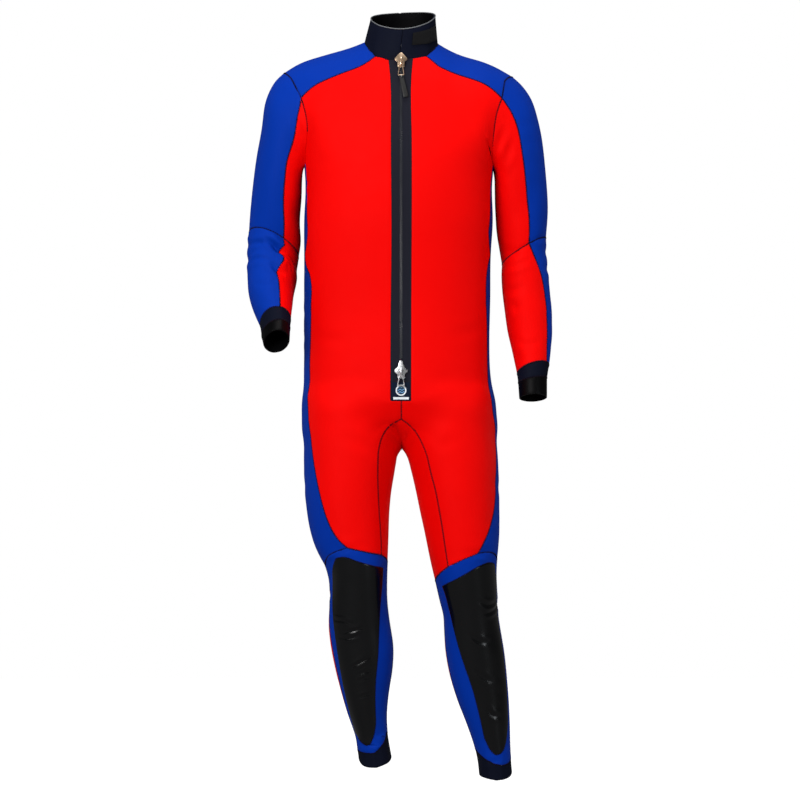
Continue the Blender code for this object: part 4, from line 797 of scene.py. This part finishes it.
bpy.ops.mesh.primitive_cube_add(size=1, location=(0, 0, 0))
tooth = bpy.context.object
bpy.ops.object.mode_set(mode="EDIT")
bpy.ops.transform.resize(value=TOOTH)
bpy.ops.mesh.bevel(offset=TOOTH_BEVEL, segments=1)
bpy.ops.object.mode_set(mode="OBJECT")
tooth_points = vertices_of(tooth.data)
tooth_faces = [tuple(face.vertices) for face in tooth.data.polygons]
bpy.data.objects.remove(tooth)

places, axes = [], []
height = np.arange(slider_foot - UNDER_SLIDER, chain_foot + ABOVE_FOOT, -TOOTH_PITCH)
depth = np.array([tape_solid.ray_cast(Vector((ZIP_X, -1, z)), Vector((0, 1, 0)))[0][1] for z in height])
for step, (z, y) in enumerate(zip(height, depth)):
    below, above = np.interp((z - SLOPE_REACH, z + SLOPE_REACH), height[::-1], depth[::-1])
    up = -np.array(Vector((0, below - above, -2 * SLOPE_REACH)).normalized())
    places.append((ZIP_X + (TOOTH_ASIDE if step % 2 else -TOOTH_ASIDE), y - TOOTH_LIFT, z))
    axes.append(np.stack([(1, 0, 0), np.cross(up, (1, 0, 0)), up], axis=1))
teeth = repeated("zip_teeth", tooth_points, tooth_faces, np.array(places), np.array(axes))
teeth.data.materials.append(tooth_plastic)
select_only(teeth)
bpy.ops.object.shade_smooth_by_angle(angle=math.radians(35))
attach(teeth, "garment")
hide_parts("zip_chain")

# ---------------------------------------------------------------- sliders and pulls
# The top slider and its pull are cast in champagne bronze, with a rubber puller on a steel link;
# the bottom slider and pull are bright steel. Their edges are rounded as tumbled castings are.
def metal(name, colour, roughness):
    """Cast and tumbled metal, with a faint vertical brushing."""
    material, tree, surface = new_material(name)
    coords = node(tree, "ShaderNodeTexCoord").outputs
    drawn = node(tree, "ShaderNodeMapping", {"Vector": coords["Object"], "Scale": (1.0, 1.0, 0.12)}).outputs[0]
    brushed = noise(tree, drawn, 2600.0, 2.0)
    worn = noise(tree, coords["Object"], 240.0, 3.0)
    tone = mixed(tree, worn, (*[c * 0.78 for c in colour], 1), (*colour, 1))
    bump = node(tree, "ShaderNodeBump", {"Height": brushed, "Strength": 0.25, "Distance": 0.00003})
    tree.links.new(tone, surface.inputs["Base Color"])
    tree.links.new(maths(tree, "MULTIPLY_ADD", worn, 0.16, roughness), surface.inputs["Roughness"])
    tree.links.new(bump.outputs[0], surface.inputs["Normal"])
    surface.inputs["Metallic"].default_value = 1.0
    return material


bronze = metal("bronze", (0.86, 0.62, 0.42), 0.24)
steel = metal("steel", (0.90, 0.91, 0.93), 0.20)
puller_rubber = rubber("puller_rubber", (0.006, 0.006, 0.006), 0.46, 0.1, 0.0001)


def rounded(cad, body, material, edge):
    """A casting in place of its solid, with its edges rounded."""
    piece = copy_of(cad, cad + "_cast")
    finish_with(piece, "BEVEL", width=edge, segments=3, limit_method="ANGLE", angle_limit=math.radians(35))
    select_only(piece)
    bpy.ops.object.shade_smooth_by_angle(angle=math.radians(40))
    piece.data.materials.append(material)
    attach(piece, body)
    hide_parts(cad)


for cad, body, material, slot, edge in (
        ("zip_top_slider", "garment", bronze, "bronze", 0.00035),
        ("zip_top_bridge", "garment", bronze, "bronze", 0.0005),
        ("zip_top_pull", "top_pull", bronze, "bronze", 0.0003),
        ("zip_top_link", "top_puller", steel, "steel", 0.00008),
        ("zip_top_puller", "top_puller", puller_rubber, "puller_rubber", 0.0004),
        ("zip_bottom_slider", "garment", steel, "steel", 0.00035),
        ("zip_bottom_bridge", "garment", steel, "steel", 0.0005),
        ("zip_bottom_pull", "bottom_pull", steel, "steel", 0.0003)):
    rounded(cad, body, material, edge)

# ---------------------------------------------------------------- patch
# A woven patch sewn over the foot of the zip: navy, with a white ring round pale wave bands, and a
# white bar below.
RING_ROW, RING_ROUND, RING_HALF, WAVES_ROUND = 390.4, 0.0088, 0.0012, 0.0068
BAR_ROW, BAR_HALF_HEIGHT, BAR_HALF_WIDTH = 398.3, 0.0022, 0.0145
patch_cloth = jersey("patch", (0.008, 0.014, 0.034), (0.003, 0.005, 0.010), loop=0.0008, grain=0.3)
woven = patch_cloth.node_tree
laid = node(woven, "ShaderNodeSeparateXYZ",
            {"Vector": node(woven, "ShaderNodeTexCoord").outputs["UV"]}).outputs
across = maths(woven, "SUBTRACT", laid["X"], ZIP_X)
up = maths(woven, "SUBTRACT", laid["Y"], photo_z(RING_ROW))
radius = maths(woven, "SQRT", maths(woven, "MULTIPLY_ADD", across, across, maths(woven, "MULTIPLY", up, up)))
off_ring = maths(woven, "ABSOLUTE", maths(woven, "SUBTRACT", radius, RING_ROUND))
ring = maths(woven, "LESS_THAN", off_ring, RING_HALF)
sway = maths(woven, "MULTIPLY", maths(woven, "SINE", maths(woven, "MULTIPLY", across, 900.0)), 0.0009)
swell = maths(woven, "SINE", maths(woven, "MULTIPLY", maths(woven, "ADD", up, sway), 1400.0))
waves = maths(woven, "MULTIPLY", maths(woven, "GREATER_THAN", swell, 0.25),
              maths(woven, "LESS_THAN", radius, WAVES_ROUND))
bar_up = maths(woven, "ABSOLUTE", maths(woven, "SUBTRACT", laid["Y"], photo_z(BAR_ROW)))
bar = maths(woven, "MULTIPLY", maths(woven, "LESS_THAN", bar_up, BAR_HALF_HEIGHT),
            maths(woven, "LESS_THAN", maths(woven, "ABSOLUTE", across), BAR_HALF_WIDTH))
surface = woven.nodes["Principled BSDF"]
ground = surface.inputs["Base Color"].links[0].from_socket
dyed = mixed(woven, waves, ground, (0.16, 0.36, 0.62, 1))
dyed = mixed(woven, maths(woven, "MAXIMUM", ring, bar), dyed, (0.78, 0.82, 0.86, 1))
woven.links.new(dyed, surface.inputs["Base Color"])
panel("zip_patch", patch_cloth, levels=3)
